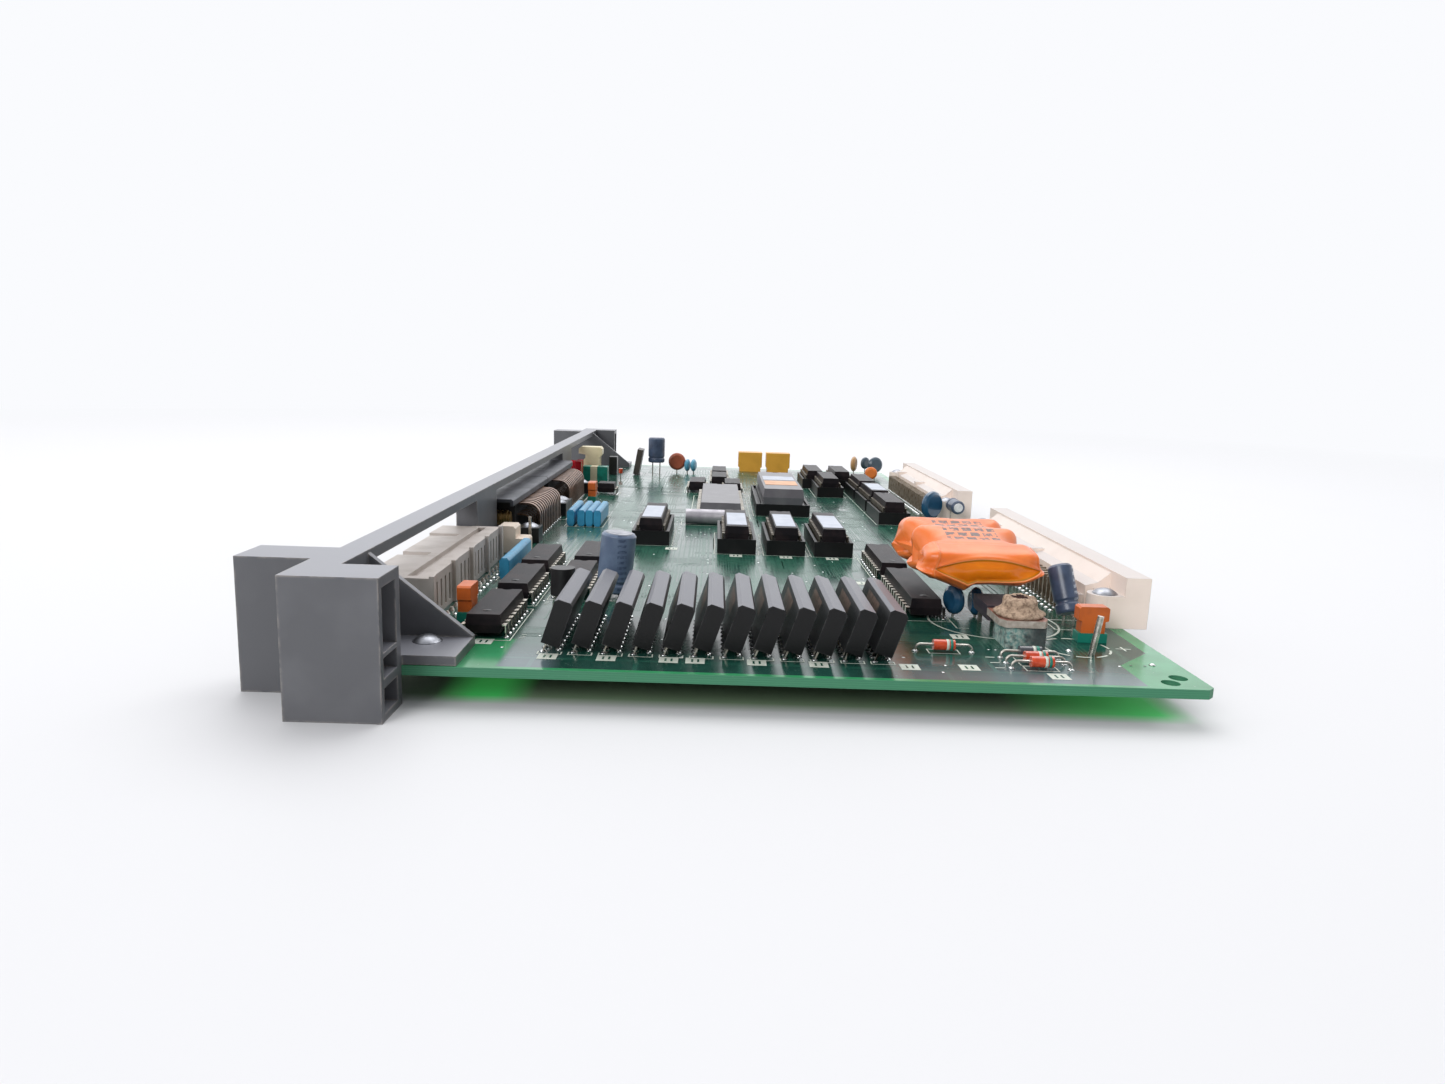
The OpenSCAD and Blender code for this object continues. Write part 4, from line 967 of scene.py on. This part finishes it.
def skin_point(along, share):
    """A point of the film at a share of the way round, and its depth in the tear."""
    from_end = min(along, 1 - along) * span_x
    roll = max(0.0, 1 - from_end / (ROLL_MM * MM))
    end = ease(1 - from_end / (END_MM * MM))
    y, z, near = outline(share, end)
    lobe = round(max(-1, min(1, y / CELL_STEP))) * CELL_STEP
    out = Vector((y - lobe, z))
    out = out.normalized() if out.length > 1e-9 else Vector((0, 1))
    push = -INSET_MM * (1 - math.sqrt(max(0.0, 1 - roll * roll)))
    push += noise.noise(Vector((along * 6.0, share * AROUND * 0.06, 3.1))) * WRINKLE_MM
    # film drawn tight: a soft fold along the upper edge, drawn in below it, ears at the ends
    level = z / CELL_R
    fold = hump(level, 0.72, 0.36) if abs(y) > CELL_STEP else 0.0
    push += fold * ((FOLD_NEAR_MM if y < 0 else FOLD_FAR_MM) + FOLD_END_MM * end)
    push += end * (HEEL_MM * hump(level, -0.62, 0.5) - WAIST_MM * hump(level, 0.05, 0.5))
    depth = -FILM_MM
    if near:
        depth = tear_depth(along, math.degrees(math.atan2(z, -(y + CELL_STEP))))
        push += LIP_MM * hump(depth, -0.35, 0.9)
        push -= SINK_MM * max(0.0, min(1.0, depth / 0.28 + 0.2))
    point = Vector((y, z)) + out * push * MM
    if point.y > 0:
        point.y *= TOP_SWELL * (1 - NEAR_DROP * ease(-y / (CELL_STEP + CELL_R)))
    else:
        foot = FOOT_SQUASH - END_FOOT * end
        point.y *= foot + (hang(along) - foot) * ease(-y / CELL_STEP - 0.3)
    # each lobe bulges at its end, and the film is drawn in between two lobes
    lobed = 0.5 + 0.5 * math.cos(2 * math.pi * y / CELL_STEP) if abs(y) < CELL_STEP else 1.0
    bulge = BULGE_MM * max(0.0, level) - TUCK_MM * hump(level, -0.2, 0.8)
    shift = end * (lobed * bulge + DRAW_MM * (1 - lobed)) * MM
    x = pack_low.x + along * span_x + (shift if along < 0.5 else -shift)
    return (x, pack_mid.y + point.x, pack_mid.z + point.y), depth


# %% Battery skin
skin = bmesh.new()
tear_layer = skin.verts.layers.float.new("tear")
grid = []
for i in range(RINGS + 1):
    grid.append([])
    for j in range(AROUND):
        place, depth = skin_point(i / RINGS, j / AROUND)
        grid[-1].append(skin.verts.new(place))
        grid[-1][-1][tear_layer] = depth
join_rings(skin, grid)
for ring in (grid[0], grid[-1]):
    skin.faces.new(ring).smooth = False
bmesh.ops.recalc_face_normals(skin, faces=skin.faces)
mesh = mesh_of("battery_skin", skin)
battery = link("battery_skin", mesh, "battery_film")
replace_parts(keep(battery), "battery_pack")
print("battery skin", len(mesh.polygons), "faces")

# %% [markdown]
# ## Crusted screw
# The screw on the power device is buried in dried crust with a rusty hollow on top. The
# lump is a lathe shape pushed about by noise.

# %% Crust lump
# radius and height in mm, from the foot to the bottom of the hollow
LUMP = [(4.1, 0.0), (4.4, 0.3), (4.3, 0.7), (3.9, 1.05), (3.4, 1.35), (3.1, 1.7), (3.05, 2.2),
        (3.0, 2.8), (2.75, 3.2), (2.3, 3.45), (1.8, 3.45), (1.4, 3.2), (1.0, 2.6), (0.3, 2.5)]
TURNS, HOLLOW_R, HOLLOW_Z = 64, 1.6, 2.3
lump_low, lump_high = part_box("screw_lump")
lump_at = (lump_low + lump_high) / 2
lump = bmesh.new()
rows = []
for radius, height in LUMP:
    rows.append([])
    for k in range(TURNS):
        a = 2 * math.pi * k / TURNS
        p = Vector((radius * math.cos(a), radius * math.sin(a), height))
        shake = 0.0
        if height > 0.1:
            shake = noise.fractal(p * 1.3 + Vector((7, 3, 1)), 0.6, 2.0, 5) * 0.5
        p.x, p.y = p.x * (1 + shake * 0.16), p.y * (1 + shake * 0.16)
        p.z = max(0.0, p.z + shake * 0.35)
        rows[-1].append(lump.verts.new((lump_at.x + p.x * MM, lump_at.y + p.y * MM,
                                        lump_low.z + p.z * MM)))
join_rings(lump, rows)
lump.faces.new(rows[-1])
lump.faces.new(list(reversed(rows[0])))
for face in lump.faces:
    middle = face.calc_center_median()
    inside = (middle.xy - lump_at.xy).length < HOLLOW_R * MM
    face.smooth = True
    face.material_index = 1 if inside and middle.z > lump_low.z + HOLLOW_Z * MM else 0
mesh = mesh_of("crusted_screw", lump)
crust = link("crusted_screw", mesh, "dried_crust", "rusty_hollow")
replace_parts(keep(crust), "screw_lump")
print("crust", len(mesh.polygons), "faces")


# %% [markdown]
# ## Diode bands and can tops
# Two narrow rings mark each diode's cathode end. Each electrolytic shows a bare aluminium
# end, set into the rim of its sleeve.

# %% Lathe helper
def lathe(name, profile, origin, axis, finish, turns=32):
    """Turns a profile of (radius, height) in mm about an axis through origin."""
    shape = bmesh.new()
    frame_to = axis.to_track_quat("Z", "Y").to_matrix()
    angles = [2 * math.pi * k / turns for k in range(turns)]
    rings = [[shape.verts.new(origin + frame_to @ Vector((r * MM * math.cos(a), r * MM * math.sin(a),
                                                          h * MM))) for a in angles]
             for r, h in profile]
    join_rings(shape, rings)
    shape.faces.new(rings[-1])
    shape.faces.new(list(reversed(rings[0])))
    bmesh.ops.recalc_face_normals(shape, faces=shape.faces)
    return keep(link(name, mesh_of(name, shape), finish))


# %% Bands and can ends
DIODE_Z = 1.3
BAND = [(0.6, 0), (0.985, 0.03), (0.985, 0.5), (0.6, 0.53)]
for index, (x, y) in enumerate(DIODES):
    for tint, shift in (("white_print", 0.35), ("teal_pbt", 1.0)):
        lathe(f"diode_band_{index}_{tint}", BAND, on_board(x + shift, y, DIODE_Z),
              Vector((1, 0, 0)), tint)

# foot on the board, tilt about x and y in degrees, diameter, length
CANS = {"tall": ((36.4, 50, 1.2), (0, 5), 7.2, 12.4),
        "plug": ((127.7, 38, 2.4), (-26, -8), 4.8, 9.8),
        "end": ((135.6, 167.4, 6.0), (90, 0), 4.4, 8.4),
        "far": ((31, 280, 5.4), (0, 0), 7.2, 10.8)}
for label, (foot, (tip_x, tip_y), across, tall) in CANS.items():
    lean = (Matrix.Rotation(math.radians(tip_y), 3, "Y")
            @ Matrix.Rotation(math.radians(tip_x), 3, "X"))
    axis = lean @ Vector((0, 0, 1))
    r = across / 2
    dish = [(r - 0.75, 0.0), (r - 0.75, 0.06), (r - 1.0, 0.1), (0.3, 0.02), (0.05, 0.02)]
    lathe(f"can_end_{label}", dish, on_board(*foot) + axis * tall * MM, axis,
          "can_aluminium" if label == "end" else "rivet_aluminium", 40)
print("bands", 2 * len(DIODES), "can ends", len(CANS))

# %% [markdown]
# ## Studio
# The card lies on a white bench that runs off into a white room, as in the picture. The
# far side of the room is bright and the photographer's side is dim, so glossy tops mirror
# white while the faces toward the camera stay dark. Far away the bench is shown as plain
# white; near the card it is an ordinary pale surface and keeps the shadow, and under the
# board it carries a painted shadow and a painted green glow.

# %% Floor
FLOOR_M, PLAIN_M, WHITE_M = 6.0, 0.3, 0.8
ROOM_WHITE = "fafbfe"
# how far inside the board's edges the painted green shade lies, and where its two clear places are
GREEN_LEFT_MM, GREEN_RIGHT_MM, GREEN_NEAR_MM = 4, 6, 5
CLEAR_LEFT, CLEAR_RIGHT, CLEAR_DEEP_MM = (18, 22), (9, 5), 14
tree, place = start("white_bench", Roughness=0.6)
# painted shadow and painted light: the bench under the board is painted a dim shaded green for its
# shadow, and a brighter green below the two clear near corners for the light that comes through the
# laminate
shaded = field(place, (low_mm.x + GREEN_LEFT_MM, high_mm.x - GREEN_RIGHT_MM),
               (low_mm.y + GREEN_NEAR_MM, high_mm.y), 6.0, 4.0)
left = window(place, 0, low_mm.x + CLEAR_LEFT[0], low_mm.x + CLEAR_LEFT[1], 6.0)
right = window(place, 0, high_mm.x - CLEAR_RIGHT[0], high_mm.x - CLEAR_RIGHT[1], 22.0)
clear = maths("MAXIMUM", left, right)
clear = times(clear, window(place, 1, low_mm.y, low_mm.y + CLEAR_DEEP_MM, 12.0))
feed(blend(shaded, "dadadc", blend(clear, "869e7f", "38b862")))
path = put(tree, "ShaderNodeLightPath").outputs
# painted glow: those green patches also glow for camera rays
feed(blend(times(shaded, clear), "000000", "24692f"), "Emission Color")
feed(path["Is Camera Ray"], "Emission Strength")
# plain white far from the card
away = put(tree, "ShaderNodeVectorMath", {0: place}, operation="LENGTH").outputs["Value"]
far = ramp(away, PLAIN_M, WHITE_M)
seen = maths("ADD", path["Is Camera Ray"], path["Is Glossy Ray"])
seen = maths("ADD", seen, path["Is Transmission Ray"], use_clamp=True)
white = put(tree, "ShaderNodeEmission", Color=linear(ROOM_WHITE), Strength=1.0)
shown = put(tree, "ShaderNodeMixShader", {0: times(far, seen), 2: white.outputs[0],
                                          1: tree.nodes["Principled BSDF"].outputs[0]})
# from below the bench is not there, so that the underside can be looked at
behind = put(tree, "ShaderNodeNewGeometry").outputs["Backfacing"]
gone = put(tree, "ShaderNodeBsdfTransparent").outputs[0]
bench = put(tree, "ShaderNodeMixShader", {0: behind, 1: shown.outputs[0], 2: gone})
tree.links.new(bench.outputs[0], tree.nodes["Material Output"].inputs["Surface"])
mesh = bpy.data.meshes.new("studio_floor")
mesh.from_pydata([(x * FLOOR_M, y * FLOOR_M, 0) for x, y in ((-1, -1), (1, -1), (1, 1), (-1, 1))],
                 [], [(0, 1, 2, 3)])
floor = link("studio_floor", mesh, "white_bench")

# %% World
world = bpy.data.worlds.new("studio_world")
bpy.context.scene.world = world
world.use_nodes = True
tree = world.node_tree
sky = tree.nodes["Background"]
sky.inputs["Color"].default_value = linear(ROOM_WHITE)
path = put(tree, "ShaderNodeLightPath").outputs
toward = part_of(put(tree, "ShaderNodeTexCoord").outputs["Generated"], 1)
mirrored = ramp(toward, -0.5, 0.3, 0.25, 1.5)
lit = ramp(toward, -0.8, 0.6, 0.4, 0.8)
polished = maths("ADD", path["Is Glossy Ray"], path["Is Transmission Ray"], use_clamp=True)
room = put(tree, "ShaderNodeMix", {0: polished, 2: lit, 3: mirrored}, data_type="FLOAT")
backdrop = put(tree, "ShaderNodeMix", {0: path["Is Camera Ray"], 2: room.outputs[0]},
               data_type="FLOAT")
backdrop.inputs[3].default_value = 1.0
tree.links.new(backdrop.outputs[0], sky.inputs["Strength"])


# %% Lamps
def lamp(name, at, aim, width, depth, power):
    light = bpy.data.lights.new(name, "AREA")
    light.shape, light.size, light.size_y = "RECTANGLE", width, depth
    light.energy = power
    stand = bpy.data.objects.new(name, light)
    stand.location = at
    stand.rotation_mode = "QUATERNION"
    stand.rotation_quaternion = (Vector(aim) - Vector(at)).to_track_quat("-Z", "Y")
    bpy.context.scene.collection.objects.link(stand)


lamp("over_lamp", (0.05, 0.4, 0.9), (0, 0, 0), 1.1, 0.8, 6.5)
lamp("left_lamp", (-0.9, -0.2, 0.7), (0, 0, 0), 0.6, 0.6, 1.2)
lamp("camera_fill", (-0.9, -1.6, 0.9), (0, 0, 0.02), 1.0, 0.8, 21.0)
print("stage and three lamps are set")
